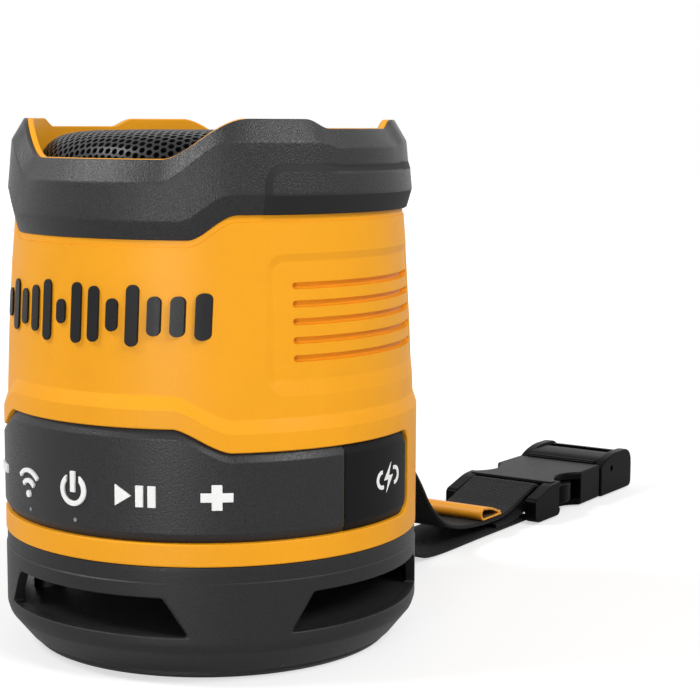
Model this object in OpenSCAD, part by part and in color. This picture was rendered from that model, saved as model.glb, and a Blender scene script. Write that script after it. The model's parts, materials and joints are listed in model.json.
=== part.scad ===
// Rugged portable speaker: round body, rubber bumper, control band, sound windows in the base,
// and a webbing strap with a side-release buckle lying on the table behind it.
// Front (power key) faces -Y, charge-port door faces +X, strap leaves at +Y.

/* [Body] */
// Widest radius, at the base and the control band
body_r = 55; // [53:0.5:58]
// Height of the rim's high points above the table
rim_z = 137; // [135:0.5:145]
// Wall of the moulded housings
wall = 2.6; // [2.2:0.1:3]
// How far the neck under the bumper is set in from the widest radius
neck_in = 3.5; // [2.8:0.1:4.2]
// How far the foot of the body's taper is set in from the widest radius
shoulder_in = 1.1; // [0.6:0.1:2]
// Depth of the yellow rim's front notch
rim_notch = 9.8; // [6:0.2:11]
// Depth of the rim's side notch
side_notch = 2.3; // [1:0.1:4]

/* [Base] */
// Height of the foot pad
foot_h = 2; // [1.5:0.1:3]
// Outer radius of the foot pad
foot_r = 48.2; // [46:0.1:49]
// Height of the base's top edge
base_z = 29.7; // [29:0.1:33]
// Height of the sound windows' lower edge
sill_z = 12.3; // [11.5:0.1:14]
// Height of the sound windows
window_h = 9.5; // [7:0.1:11]
// Width of a sound window at its top
window_top_w = 47; // [36:1:50]
// Width of a sound window at its sill
window_sill_w = 58; // [50:1:60]

/* [Control band] */
// Height of the trim ring under the control panel
trim_h = 5.7; // [4:0.1:7]
// Height of the panel at the front
panel_h = 27.9; // [26:0.1:30]
// How much lower the panel is at the sides
panel_drop = 5.8; // [3:0.1:7]
// Thickness of the rubber panel
panel_t = 2.5; // [2.2:0.1:2.8]
// Angle from the front to the panel's end
panel_end = 105.5; // [100:0.5:108]
// Angle from the front to the seam of the port door
door_seam = 74.5; // [72:0.5:77]
// Height of the symbols above the panel's lower edge
symbol_up = 11.5; // [10.5:0.1:12.5]
// How far the symbols stand proud of the panel
symbol_proud = 0.5; // [0.3:0.1:0.8]
// Travel of a key
key_travel = 0.5; // [0.3:0.1:0.6]

/* [Driver] */
// Outer radius of the driver's frame
driver_r = 38.5; // [37:0.1:39.5]
// Width of the cone's rubber surround
surround_w = 5; // [4:0.5:7]
// Depth of the cone
cone_depth = 13; // [11:0.5:15]
// Radius of the voice coil
coil_r = 9; // [8.5:0.1:10]
// Travel of the cone each way
cone_travel = 2; // [1:0.1:2.5]
// Radius of the grille's rim
grille_r = 45; // [44:0.1:45.4]
// Pitch of the grille's holes
hole_pitch = 4; // [3.5:0.1:6]
// Diameter of a grille hole
hole_d = 2.5; // [1.5:0.1:2.8]

/* [Passive radiator] */
// Width of the radiator's rubber surround
radiator_roll = 9; // [8:0.5:11]
// Gap between the radiator's frame and the base's posts
radiator_gap = 1; // [0.5:0.1:2]
// Travel of the radiator each way
radiator_travel = 3; // [1:0.5:3.5]

/* [Battery] */
// Diameter of a cell
cell_d = 18.2; // [17.5:0.1:18.6]
// Length of a cell
cell_l = 65; // [60:0.5:66]

/* [Strap] */
// Width of the webbing
web_w = 25; // [20:0.5:27]
// Thickness of the webbing
web_t = 1.3; // [1:0.1:1.6]
// Diameter of the strap bar
bar_d = 5; // [4:0.1:5.5]
// Width of the buckle
buckle_w = 34; // [32:0.5:38]
// Height of the buckle's sleeve
buckle_h = 12; // [11.5:0.1:13]

/* [Clearances] */
// Gap between fixed mouldings
fit = 0.15; // [0.1:0.05:0.25]
// Gap between pieces that move against each other
run = 0.3; // [0.2:0.05:0.4]
// Radial gap of a turning fit
turn = 0.08; // [0.04:0.01:0.1]

/* [Hidden] */
$fn = 96;

YELLOW = "#f5a623";
BLACK = "#26262a";
RUBBER = "#333336";
STEEL = "#9a9da0";
WHITE = "#f4f4f2";
COPPER = "#b87333";
BOARD = "#1f5a3a";
WEB = "#202022";

// Reach of cuts that pass right through
far = 400;

// Levels of the base
base_floor_z = foot_h + wall;
ledge_z = sill_z - 2.1;
base_chamfer_r = body_r - 0.6;
base_chamfer_z = foot_h + 6.1;
base_edge_r = foot_r + 1.3;
base_step = 0.3;
base_step_z = base_z - 4;
window_top_z = sill_z + window_h;
window_corner = 1.2;
post_r = 4;
post_at = body_r - 11;
post_angles = [45 : 90 : 315];
thread_r = 1.5;
head_r = 2.9;
head_t = 2.2;
head_sink = 0.8;

// Levels of the main housing
neck_r = body_r - neck_in;
shoulder_r = body_r - shoulder_in;
radiator_frame_r = post_at - post_r - radiator_gap;
spigot_h = 3;
flange_z = base_z + 1.3;
flange_t = 3;
flange_top = flange_z + flange_t;
flange_r = radiator_frame_r - 5;
inner_r = body_r - 2 * wall + 0.2;
panel_z = base_z + trim_h;
panel_top = panel_z + panel_h;
panel_side_top = panel_top - panel_drop;
panel_floor_r = body_r - panel_t + 0.1;
panel_r = body_r + 0.1;
flare_band = 4.6;
flare_h = 7.6;
panel_shoulder = [26.4, 37.1];
flare_x = panel_shoulder[1] + 0.8;
neck_z = rim_z - 29;
mid_z = neck_z - 24;
mid_r = neck_r + (shoulder_r - neck_r) * 0.7;
rim_in_r = grille_r + 1;
rim_out_r = rim_in_r + 1.5;
seat_z = rim_z - 15.5;
shelf_z = rim_z - 26.5;
shelf_t = 3;
shelf_r = rim_in_r - 3.5;
seat_r = rim_out_r + 3.5;
hem_r = seat_r + 0.5;

// Wave lines: height at the front, height at the sides, start and end of the rise across the width
function clamp(t) = max(0, min(1, t));
function ease(t) = let (c = clamp(t)) c * c * (3 - 2 * c);
function wave(line, x) = line[0] + (line[1] - line[0]) * ease((abs(x) - line[2]) / (line[3] - line[2]));
rim_line = [rim_z - rim_notch, rim_z, 19, 36];
crease_line = [rim_z - 15.2, rim_z - 5.5, 20.5, 36];
belly_line = [rim_z - 24.1, rim_z - 17.9, 26, 36.5];
hem_line = [rim_z - 28.8, rim_z - 22.8, 27, 36.5];
side_rise = [12.4, 19.1];
function side_dip(y, depth) = depth * (1 - ease((abs(y) - side_rise[0]) / (side_rise[1] - side_rise[0])));
ramp_steps = 8;
function ramp_x(line) =
    [for (i = [0 : ramp_steps]) line[2] + (line[3] - line[2]) * i / ramp_steps];
function wave_path(line) = concat(
    [[-far, line[1]]],
    [for (i = [ramp_steps : -1 : 0]) let (x = ramp_x(line)[i]) [-x, wave(line, x)]],
    [for (x = ramp_x(line)) [x, wave(line, x)]],
    [[far, line[1]]]);

// Places: local x runs to the right, y up and z outwards
module at_angle(angle) rotate([0, 0, angle]) rotate([90, 0, 0]) children();
module along_y() rotate([90, 0, 0]) children();
module along_x() rotate([90, 0, 90]) children();
module turned() rotate_extrude($fn = 180) children();
module sector(from, to) rotate([0, 0, from - 90]) rotate_extrude(angle = to - from, $fn = 180) children();
module around(radius, angles) for (a = angles) rotate([0, 0, a]) translate([radius, 0, 0]) children();
module band(inside, outside, low, high) translate([inside, low]) square([outside - inside, high - low]);
module tube(outside, inside, low, high) turned() band(inside, outside, low, high);
module disc(radius, low, high) translate([0, 0, low]) cylinder(r = radius, h = high - low);
module above(line) along_y() linear_extrude(far, center = true)
    polygon(concat(wave_path(line), [[far, far], [-far, far]]));

// Outline with its corners rounded, for moulded recesses and blocks
arc_steps = 4;
function unit(v) = v / norm(v);
function corner_arc(a, b, c, r) =
    let (u = unit(a - b), v = unit(c - b),
         half = acos(u * v) / 2,
         centre = b + unit(u + v) * r / sin(half),
         first = b + u * r / tan(half),
         last = b + v * r / tan(half),
         start = atan2(first[1] - centre[1], first[0] - centre[0]),
         sweep = atan2(last[1] - centre[1], last[0] - centre[0]) - start,
         turn_by = sweep > 180 ? sweep - 360 : sweep < -180 ? sweep + 360 : sweep)
    [for (i = [0 : arc_steps]) let (a = start + turn_by * i / arc_steps) centre + r * [cos(a), sin(a)]];
function rounded(points, r) = [
    for (i = [0 : len(points) - 1])
        let (n = len(points))
        each corner_arc(points[(i + n - 1) % n], points[i], points[(i + 1) % n], r)];
function box_points(x0, y0, x1, y1) = [[x0, y0], [x1, y0], [x1, y1], [x0, y1]];

// Screw with its head down and its thread up
module screw(length, radius, head, head_h) {
    cylinder(r = head, h = head_h);
    cylinder(r = radius, h = length);
}

// Foot and base

module foot_pad() color(RUBBER)
    turned() polygon([[0, 0], [foot_r - 0.8, 0], [foot_r, 0.8], [foot_r, foot_h], [0, foot_h]]);

module window_prism() {
    sill = [for (s = [-1, 1]) [s * window_sill_w / 2, sill_z]];
    head = [for (s = [1, -1]) [s * window_top_w / 2, window_top_z]];
    linear_extrude(body_r + 10) polygon(rounded(concat(sill, head), window_corner));
}

module base_housing() color(BLACK) difference() {
    union() {
        turned() polygon([
            [0, foot_h], [base_edge_r, foot_h], [base_chamfer_r, base_chamfer_z],
            [body_r, base_chamfer_z + 1.9],
            [body_r, base_step_z - base_step], [body_r - base_step, base_step_z],
            [body_r - base_step, base_z],
            [body_r - wall, base_z], [body_r - wall, ledge_z], [body_r - wall - 1.6, ledge_z],
            [base_edge_r - 2, base_floor_z], [0, base_floor_z]]);
        around(post_at, post_angles) disc(post_r, base_floor_z - 0.5, flange_z);
        around(deflector_boss_at, deflector_boss_angles)
            disc(deflector_boss_r, base_floor_z - 0.5, deflector_boss_z);
    }
    for (a = [0 : 90 : 270]) at_angle(a) window_prism();
    around(post_at, post_angles) {
        disc(thread_r + 0.2, -1, flange_z + 1);
        disc(head_r + 0.3, -1, foot_h + head_t + head_sink);
    }
    around(deflector_boss_at, deflector_boss_angles) {
        disc(thread_r + 0.2, -1, deflector_boss_z + 1);
        disc(head_r + 0.3, -1, foot_h + head_t + 0.4);
    }
}

deflector_boss_at = 26;
deflector_boss_angles = [0 : 120 : 240];
deflector_boss_r = 4;
deflector_t = 2.4;
deflector_rise = [[body_r - 16, 2], [8, 7.7], [0, 8.7]];
deflector_boss_z = sill_z;

module base_deflector() color(BLACK) difference() {
    union() {
        turned() polygon(concat(
            [[body_r - wall - 1.4, ledge_z], [body_r - wall - fit, ledge_z], [body_r - wall - fit, sill_z]],
            [for (p = deflector_rise) [p[0], sill_z + p[1]]],
            [for (i = [2 : -1 : 0]) [deflector_rise[i][0], sill_z + deflector_rise[i][1] - deflector_t]]));
        around(deflector_boss_at, deflector_boss_angles) disc(deflector_boss_r, deflector_boss_z, sill_z + 3);
    }
    around(post_at, post_angles) disc(post_r + fit, 0, far);
    around(deflector_boss_at, deflector_boss_angles) disc(thread_r + 0.05, 0, sill_z + 2.6);
}

module base_screws() color(STEEL) around(post_at, post_angles)
    translate([0, 0, foot_h + head_sink])
        screw(flange_top + 2.6 - foot_h - head_sink, thread_r, head_r, head_t);

module deflector_screws() color(STEEL) around(deflector_boss_at, deflector_boss_angles)
    translate([0, 0, foot_h + 0.4]) screw(sill_z + 1.6 - foot_h, thread_r, head_r, head_t);

// Main housing

side_panel_z = [panel_z + 35.1, neck_z - 3.1];
side_panel_w = 64;
side_panel_depth = 0.5;
groove_count = 5;
groove_h = 1.7;
groove_w = 53;
groove_depth = 1;
groove_top_z = side_panel_z[1] - 7.8;
groove_step = (groove_top_z - side_panel_z[0] - 9) / (groove_count - 1);
hem_step = 1.7;
hem_step_depth = 0.3;
bed_r = seat_r - 0.6;

// Radius of the body's taper at a height
function skin_r(z) = z > mid_z
    ? neck_r + (mid_r - neck_r) * (neck_z - z) / (neck_z - mid_z)
    : mid_r + (shoulder_r - mid_r) * (mid_z - z) / (mid_z - panel_top);

// Flare over the control band
flare_side_z = panel_side_top + flare_h;
flare_top_z = panel_top + flare_h;
flare_in_r = min(inner_r + 1, skin_r(flare_top_z) - 1);

// Everything outside the body's taper, less a depth
module outside_skin(depth, low, high) turned() polygon([
    [skin_r(low) - depth, low], [far, low], [far, high], [skin_r(high) - depth, high],
    [skin_r(mid_z) - depth, mid_z]]);

// Panel outline as a solid: a band with rounded ends round the front, raised in the middle
end_corner = 4;
end_half = body_r * sin(panel_end - 90);
seam_half = body_r * cos(door_seam);
module panel_area(gap) union() {
    low = panel_side_top - 3;
    high = panel_top - gap;
    run_out = (panel_shoulder[1] - panel_shoulder[0]) / panel_drop;
    foot = panel_shoulder[0] - gap + run_out * (high - low);
    along_x() linear_extrude(far, center = true)
        polygon(rounded(box_points(-far, panel_z + gap, end_half - gap, panel_side_top - gap), end_corner));
    along_y() linear_extrude(far) polygon([
        [-foot, low], [foot, low], [panel_shoulder[0] - gap, high], [gap - panel_shoulder[0], high]]);
}
// Side of the seam that belongs to the port door
module door_side(from_y) translate([inner_r / 2, from_y, 0]) cube(far);

// Strap lugs at the back
lug_y = body_r + 2;
lug_z = panel_z + 20.6;
lug_r = bar_d / 2 + 2.7;
lug_x = web_w / 2 + 1.3;
lug_t = 4.7;
pocket_y = body_r - 3.6;

module lug_shape(x) translate([x, 0, 0]) along_x() linear_extrude(lug_t) union() {
    translate([lug_y, lug_z]) circle(lug_r);
    polygon(box_points(inner_r - 3, lug_z - lug_r, lug_y, lug_z + lug_r));
}

key_angles = [-38.5, -18.3, 0, 18.2, 39.1];
symbol_z = panel_z + symbol_up;
plunger_r = 1.5;
key_flange_r = 5.5;
key_flange_t = 0.8;
key_flange_w = body_r - 2;
light_angles = [-17.8, 0.5];
light_r = 0.5;
light_z = symbol_z - 7.5;
socket_z = panel_z + 11.4;
socket_w = 8.94;
socket_h = 3.2;
charge_board_t = 1.2;
charge_board_w = 18;
tray_x = cell_l / 2 + 2;
charge_board_x = tray_x + 3;
charge_shelf_t = 3.5;
shelf_top = socket_z - socket_h / 2 - charge_board_t;

module main_housing() color(YELLOW) difference() {
    union() {
        turned() polygon([
            [flange_r, flange_z], [inner_r, flange_z], [inner_r, base_z - spigot_h],
            [body_r - wall - 0.2, base_z - spigot_h], [body_r - wall - 0.2, base_z], [body_r, base_z],
            [body_r, panel_side_top + flare_band], [skin_r(flare_side_z), flare_side_z], [mid_r, mid_z],
            [neck_r, neck_z], [seat_r, seat_z - seat_r + rim_out_r], [rim_out_r, seat_z], [rim_out_r, rim_z],
            [rim_in_r, rim_z], [rim_in_r, shelf_z], [shelf_r, shelf_z], [shelf_r, shelf_z - shelf_t],
            [neck_r - 2.2, shelf_z - 10], [min(inner_r, mid_r - wall), mid_z], [inner_r, flange_top],
            [flange_r, flange_top]]);
        intersection() {
            turned() polygon([
                [flare_in_r, panel_side_top - 1], [body_r, panel_side_top - 1],
                [body_r, panel_top + flare_band],
                [skin_r(flare_top_z), flare_top_z], [flare_in_r, flare_top_z]]);
            along_y() linear_extrude(far, center = true) polygon([
                [-flare_x, panel_side_top - 0.7], [flare_x, panel_side_top - 0.7],
                [flare_x, flare_side_z - 0.4], [panel_shoulder[0], flare_top_z],
                [-panel_shoulder[0], flare_top_z], [-flare_x, flare_side_z - 0.4]]);
        }
        difference() {
            for (x = [lug_x, -lug_x - lug_t]) lug_shape(x);
            disc(inner_r, 0, far);
        }
        around(post_at, post_angles) disc(post_r, flange_z, flange_top + 4);
        intersection() {
            disc(inner_r + 0.5, 0, far);
            translate([charge_board_x - 0.5, -charge_board_w / 2 - 1, shelf_top - charge_shelf_t])
                cube([far, charge_board_w + 2, charge_shelf_t]);
        }
    }
    // Rim waves
    above(rim_line);
    along_x() linear_extrude(far, center = true) polygon([
        [-side_rise[1], rim_z + 1], [-side_rise[1], rim_z], [-side_rise[0], rim_z - side_notch],
        [side_rise[0], rim_z - side_notch], [side_rise[1], rim_z], [side_rise[1], rim_z + 1]]);
    // Beds under the bumper
    intersection() {
        above([for (i = [0 : 3]) hem_line[i] - (i < 2 ? hem_step : 0)]);
        tube(far, hem_r - hem_step_depth, neck_z - 5, rim_z - 12);
    }
    intersection() {
        above([for (i = [0 : 3]) hem_line[i] - (i < 2 ? fit : 0)]);
        tube(far, bed_r, neck_z - 5, rim_z - 12);
    }
    // Side panels and their grooves
    for (side = [0, 1]) mirror([side, 0, 0]) {
        intersection() {
            outside_skin(side_panel_depth, side_panel_z[0] - 1, side_panel_z[1] + 1);
            half = side_panel_w / 2;
            along_x() linear_extrude(far)
                polygon(rounded(box_points(-half, side_panel_z[0], half, side_panel_z[1]), end_corner));
        }
        intersection() {
            outside_skin(side_panel_depth + groove_depth, side_panel_z[0] - 1, side_panel_z[1] + 1);
            along_x() linear_extrude(far) for (i = [0 : groove_count - 1])
                translate([0, groove_top_z - i * groove_step]) {
                    square([groove_w - groove_h, groove_h], center = true);
                    for (end = [-1, 1]) translate([end * (groove_w - groove_h) / 2, 0]) circle(d = groove_h);
                }
        }
    }
    // Panel bed
    intersection() {
        tube(far, panel_floor_r, panel_z - 1, panel_top + 1);
        panel_area(0);
    }
    // Keys, lights and charge socket
    for (a = key_angles) at_angle(a) translate([0, symbol_z, 0]) rotate_extrude() {
        band(0, plunger_r + run, inner_r - 3, body_r);
        band(0, key_flange_r + run, key_flange_w - key_travel - 0.5, body_r + 2);
    }
    for (a = light_angles) at_angle(a) translate([0, light_z, inner_r - 3])
        cylinder(r = light_r + fit, h = 8);
    along_x() translate([0, socket_z, inner_r - 3]) linear_extrude(far)
        square([socket_w + 2 * fit, socket_h + 2 * fit], center = true);
    // Strap pocket and bar
    translate([-web_w / 2 - 1.3, pocket_y, lug_z - 11]) cube([web_w + 2.6, far, 20]);
    along_x() translate([lug_y, lug_z]) linear_extrude(far, center = true) circle(bar_d / 2 + 0.02);
    // Screw holes
    around(post_at, post_angles) disc(thread_r + 0.05, 0, flange_top + 3.2);
    around(radiator_screw_at, radiator_screw_angles) disc(radiator_screw_r + 0.05, 0, flange_top - 0.6);
    around(baffle_screw_at, baffle_screw_angles) disc(baffle_screw_r + 0.05, shelf_z - shelf_t + 0.4, far);
    for (s = [-1, 1], z = carrier_screw_z) at_angle(s * carrier_screw_at) translate([0, z, inner_r - 3])
        cylinder(r = small_screw_r + 0.05, h = 3.4 + small_bite);
    for (p = tray_feet) translate([p[0], p[1], 0]) disc(small_screw_r + 0.05, flange_z + 0.6, flange_top + 1);
}

// Raised level bars on the front, in place of lettering
emblem_count = 13;
emblem_pitch = 5.2;
emblem_w = 3;
emblem_proud = 0.7;
emblem_z = panel_top + (hem_line[0] - panel_top) * 0.6;
function emblem_h(i) = 5 + 11 * abs(sin(i * 67 + 20)) * cos((i - (emblem_count - 1) / 2) * 9);

module emblem_bars() color(BLACK) intersection() {
    difference() {
        outside_skin(-0.01, emblem_z - 12, emblem_z + 12);
        outside_skin(-emblem_proud, emblem_z - 13, emblem_z + 13);
    }
    along_y() linear_extrude(far) for (i = [0 : emblem_count - 1])
        translate([(i - (emblem_count - 1) / 2) * emblem_pitch, emblem_z]) {
            straight = emblem_h(i) - emblem_w;
            square([emblem_w, straight], center = true);
            for (s = [-1, 1]) translate([0, s * straight / 2]) circle(d = emblem_w);
        }
}

// Bumper: one ring profile whose heights follow the wave lines
bumper_steps = 144;
bumper_top_t = 0.8;
belly_r = hem_r + 1.4;
crease_r = hem_r + 0.2;
pad_half = [36, 38];
pad_proud = 0.4;
function pad(angle) = pad_proud * ease((pad_half[1] - abs(abs(angle) - 90)) / (pad_half[1] - pad_half[0]));
function lift(line, r, a, dip) = wave(line, r * sin(a)) - side_dip(r * cos(a), dip);
function bumper_profile(a) =
    let (hem = wave(hem_line, hem_r * sin(a)),
         belly = wave(belly_line, belly_r * sin(a)),
         crease = lift(crease_line, crease_r, a, side_notch * 0.6),
         top = lift(rim_line, rim_out_r, a, side_notch),
         p = pad(a))
    [[hem_r + p, hem], [belly_r + p, belly],
     [belly_r + (crease_r - belly_r) * 0.45 + p, belly + (crease - belly) * 0.45],
     [belly_r + (crease_r - belly_r) * 0.58, belly + (crease - belly) * 0.58],
     [crease_r, crease], [rim_out_r + fit + bumper_top_t, top], [rim_out_r + fit, top],
     [rim_out_r + fit, seat_z + fit], [bed_r + fit, seat_z + fit + rim_out_r - bed_r], [bed_r + fit, hem]];

module bumper_ring() color(RUBBER) {
    rings = [for (i = [0 : bumper_steps - 1]) let (a = 360 * i / bumper_steps - 180) [
        for (p = bumper_profile(a)) [p[0] * sin(a), -p[0] * cos(a), p[1]]]];
    m = len(rings[0]);
    polyhedron(
        points = [for (ring = rings) each ring],
        faces = [for (i = [0 : bumper_steps - 1], j = [0 : m - 1])
            let (a = i * m + j, b = i * m + (j + 1) % m,
                 c = ((i + 1) % bumper_steps) * m + (j + 1) % m, d = ((i + 1) % bumper_steps) * m + j)
            each [[a, b, c], [a, c, d]]]);
}

// Grille and the parts under it
grille_t = 0.8;
grille_top_z = rim_z - 3.1;
grille_edge_z = rim_z - 9;
grille_flat_r = grille_r - 5;
grille_foot_z = shelf_z + 10;
baffle_t = 3;
baffle_top = shelf_z + baffle_t;
baffle_open_r = driver_r - 3.5;
baffle_screw_at = (shelf_r + rim_in_r) / 2;
baffle_screw_angles = [0 : 90 : 270];
baffle_screw_r = 1;
row_h = hole_pitch * sqrt(3) / 2;

module rim_grille() color(BLACK) {
    rows = floor(grille_flat_r / row_h);
    difference() {
        turned() polygon([
            [grille_r - grille_t, grille_foot_z], [grille_r, grille_foot_z], [grille_r, grille_edge_z - 1],
            [grille_r - 0.7, grille_edge_z + 1.6], [grille_flat_r, grille_top_z], [0, grille_top_z],
            [0, grille_top_z - grille_t], [grille_flat_r - 0.3, grille_top_z - grille_t],
            [grille_r - 0.7 - grille_t, grille_edge_z + 1.2], [grille_r - grille_t, grille_edge_z - 1.2]]);
        translate([0, 0, grille_top_z - 2]) linear_extrude(4)
            for (j = [-rows : rows], i = [-rows - 2 : rows + 2]) {
                spot = [(i + (j % 2 == 0 ? 0 : 0.5)) * hole_pitch, j * row_h];
                if (norm(spot) < grille_flat_r - hole_d * 0.7) translate(spot) circle(d = hole_d, $fn = 24);
            }
    }
}

module grille_ring() color(BLACK) turned() polygon([
    [baffle_ring_r, baffle_top], [rim_in_r - fit, baffle_top], [rim_in_r - fit, grille_foot_z],
    [baffle_ring_r, grille_foot_z]]);
baffle_ring_r = grille_r - 1.5;

module driver_baffle() color(BLACK) difference() {
    tube(rim_in_r - fit, baffle_open_r, shelf_z, baffle_top);
    around(baffle_screw_at, baffle_screw_angles) {
        disc(baffle_screw_r + 0.05, 0, far);
        translate([0, 0, baffle_top]) countersink(baffle_screw_r, 0.05);
    }
    around(driver_screw_at, driver_screw_angles) disc(driver_screw_r + 0.05, 0, far);
}

// Countersunk head with its top face at z 0
sink_h = 1.2;
module countersink(radius, gap)
    translate([0, 0, -sink_h]) cylinder(r1 = radius + gap, r2 = radius + 0.6 + gap, h = sink_h);

module baffle_screws() color(STEEL) around(baffle_screw_at, baffle_screw_angles)
    translate([0, 0, baffle_top]) {
        countersink(baffle_screw_r, 0);
        mirror([0, 0, 1]) cylinder(r = baffle_screw_r, h = baffle_t + shelf_t - 1);
    }

// Driver
gasket_t = 1;
frame_z = baffle_top + gasket_t;
frame_t = 2.4;
driver_screw_at = driver_r - 2;
driver_screw_angles = [45 : 90 : 315];
driver_screw_r = 1.1;
cone_z = frame_z + frame_t - 1.4;
apex_z = cone_z - cone_depth;
plate_top = apex_z - 9;
top_plate_t = 4;
magnet_t = 10;
magnet_r = coil_r + 15;
back_plate_t = 4;
gap_r = coil_r + 0.6;
roll_r = driver_r - 5.5;
cone_lip = 1;
cone_r = roll_r - surround_w - cone_lip;
basket_floor = 2.4;
basket_window = [for (share = [0.22, 0.74]) (frame_z - plate_top) * share];
spider_r = magnet_r - 2;
spider_seat = 2.5;
spider_t = 0.8;
spider_z = plate_top + basket_floor + cone_travel + 0.6;

module driver_gasket() color(RUBBER) difference() {
    tube(driver_r, baffle_open_r, baffle_top, frame_z);
    around(driver_screw_at, driver_screw_angles) disc(driver_screw_r + fit, 0, far);
}

module driver_basket() color(STEEL) difference() {
    turned() polygon([
        [driver_r, frame_z], [driver_r, frame_z + frame_t], [roll_r, frame_z + frame_t],
        [roll_r, frame_z - 2], [spider_r, spider_z], [spider_r - spider_seat, spider_z],
        [spider_r - spider_seat, plate_top + basket_floor], [gap_r + 2, plate_top + basket_floor],
        [gap_r + 2, plate_top],
        [magnet_r - 2, plate_top], [baffle_open_r - 0.6, frame_z - 3], [baffle_open_r - 0.6, frame_z]]);
    for (a = [0 : 90 : 270]) at_angle(a) translate([0, plate_top, 0]) linear_extrude(far) polygon(rounded([
        [-coil_r, basket_window[0]], [coil_r, basket_window[0]],
        [coil_r + 4, basket_window[1]], [-coil_r - 4, basket_window[1]]], 2));
    around(driver_screw_at, driver_screw_angles) disc(driver_screw_r + fit, 0, far);
}

module driver_screws() color(STEEL) around(driver_screw_at, driver_screw_angles)
    translate([0, 0, frame_z + frame_t]) {
        cylinder(r = 1.9, h = 1.2);
        mirror([0, 0, 1]) cylinder(r = driver_screw_r, h = frame_t + gasket_t + baffle_t);
    }

module driver_top_plate() color(STEEL) tube(magnet_r - 2, gap_r, plate_top - top_plate_t, plate_top);
magnet_z = plate_top - top_plate_t - magnet_t;
module driver_magnet() color(BLACK) tube(magnet_r, coil_r + 3, magnet_z, magnet_z + magnet_t);
module driver_back_plate() color(STEEL) union() {
    disc(magnet_r - 2, magnet_z - back_plate_t, magnet_z);
    disc(coil_r - 0.9, magnet_z - 0.5, plate_top + 0.5);
}

coil_low = plate_top - top_plate_t - 1;
module driver_voice_coil() color(COPPER) tube(coil_r, coil_r - 0.4, coil_low, apex_z);

cone_t = 0.8;
module driver_cone() color(BLACK) turned() polygon([
    [coil_r - 0.4, apex_z], [coil_r + 0.6, apex_z], [cone_r, cone_z - cone_t],
    [cone_r + cone_lip, cone_z - cone_t],
    [cone_r + cone_lip, cone_z], [cone_r - 0.5, cone_z], [coil_r - 0.4, apex_z + 1.2]]);

cap_r = coil_r + 2;
cap_z = apex_z + 1.2 + (cone_z - apex_z - 1.2) * (cap_r - coil_r + 0.4) / (cone_r - 0.1 - coil_r);
cap_rise = 3;
cap_sphere = (cap_r * cap_r + cap_rise * cap_rise) / (2 * cap_rise);
module driver_dust_cap() color(BLACK) translate([0, 0, cap_z + cap_rise - cap_sphere]) intersection() {
    difference() {
        sphere(cap_sphere);
        sphere(cap_sphere - 0.6);
    }
    disc(cap_r - 0.3, cap_sphere - cap_rise + 0.3, far);
}

// Half roll between two radii
module half_roll(inside, outside, z, thickness, up) turned() difference() {
    mid = (inside + outside) / 2;
    half = (outside - inside) / 2;
    translate([mid, z]) difference() {
        circle(half);
        circle(half - thickness);
        translate([-far, up ? -2 * far : 0]) square(2 * far);
    }
}
module driver_surround() color(RUBBER) half_roll(cone_r + cone_lip, roll_r, cone_z, 0.6, true);
module driver_spider() color("#c9a35a") turned() difference() {
    band(coil_r + 0.05, spider_r - fit, spider_z, spider_z + spider_t);
    for (i = [0 : 4]) translate([coil_r + 1.5 + i * 2, spider_z + (i % 2) * spider_t])
        circle(0.35, $fn = 24);
}

// Places of the keypad and the main board
carrier_r = inner_r - 4.7;
carrier_t = 2;
flex_t = 0.3;
flex_end = 46;
flex_r = carrier_r + 0.05 + flex_t;
carrier_foot = [53, 60];
carrier_screw_at = carrier_foot[1] - 3;
carrier_low = flange_top + 5;
carrier_high = symbol_z + 17;
carrier_screw_z = [symbol_z - 3, symbol_z + 12];
small_screw_r = 1;
small_head_r = 1.9;
small_head_h = 1.4;
small_bite = 1.4;
board_y = -(carrier_r - 14);
board_t = 1.6;
board_half = sqrt(pow(carrier_r - carrier_t - 0.8, 2) - pow(board_t - board_y, 2));
board_screw = [board_half - 2, 5];
board_screw_z = [carrier_low + board_screw[1], carrier_high - board_screw[1]];

// Control panel and keys

module symbol(name, grow) {
    if (name == "minus") square([7.9 + 2 * grow, 2.2 + 2 * grow], center = true);
    if (name == "plus") {
        square([7.9 + 2 * grow, 2.2 + 2 * grow], center = true);
        square([2.6 + 2 * grow, 6.2 + 2 * grow], center = true);
    }
    if (name == "power") {
        difference() {
            broken_ring(4.05, 1.25, grow);
            translate([0, 4]) square([4 - 2 * grow, 6], center = true);
        }
        translate([0, 2]) square([1.5 + 2 * grow, 5.2 + 2 * grow], center = true);
    }
    if (name == "play") {
        polygon([[-5.1 - grow, -2.6 - 1.4 * grow], [-0.9 + 1.4 * grow, 0], [-5.1 - grow, 2.6 + 1.4 * grow]]);
        for (x = [1.25, 4.35]) translate([x, 0]) square([1.9 + 2 * grow, 5.2 + 2 * grow], center = true);
    }
    if (name == "wireless") translate([0, -3.6]) {
        circle(0.9 + grow);
        for (r = [3.4, 6]) intersection() {
            broken_ring(r + 0.55, 1.1, grow);
            polygon([[0, -0.8], [9, 9.6], [-9, 9.6]]);
        }
    }
    if (name == "charge") {
        polygon([[1.2, 3.9], [-2.2, -0.5], [-0.1, -0.5], [-1.2, -3.9], [2.2, 0.5], [0.1, 0.5]]);
        for (s = [-1, 1]) intersection() {
            difference() {
                square([11, 5], center = true);
                square([8.8, 2.8], center = true);
            }
            translate([s * 4.4, 0]) square([3.4, 8], center = true);
        }
    }
}
module broken_ring(outside, thickness, grow) difference() {
    circle(outside + grow);
    circle(outside - thickness - grow);
}

panel_in_r = panel_floor_r + 0.05;
panel_chamfer = [1.1, 2.2];
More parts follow.
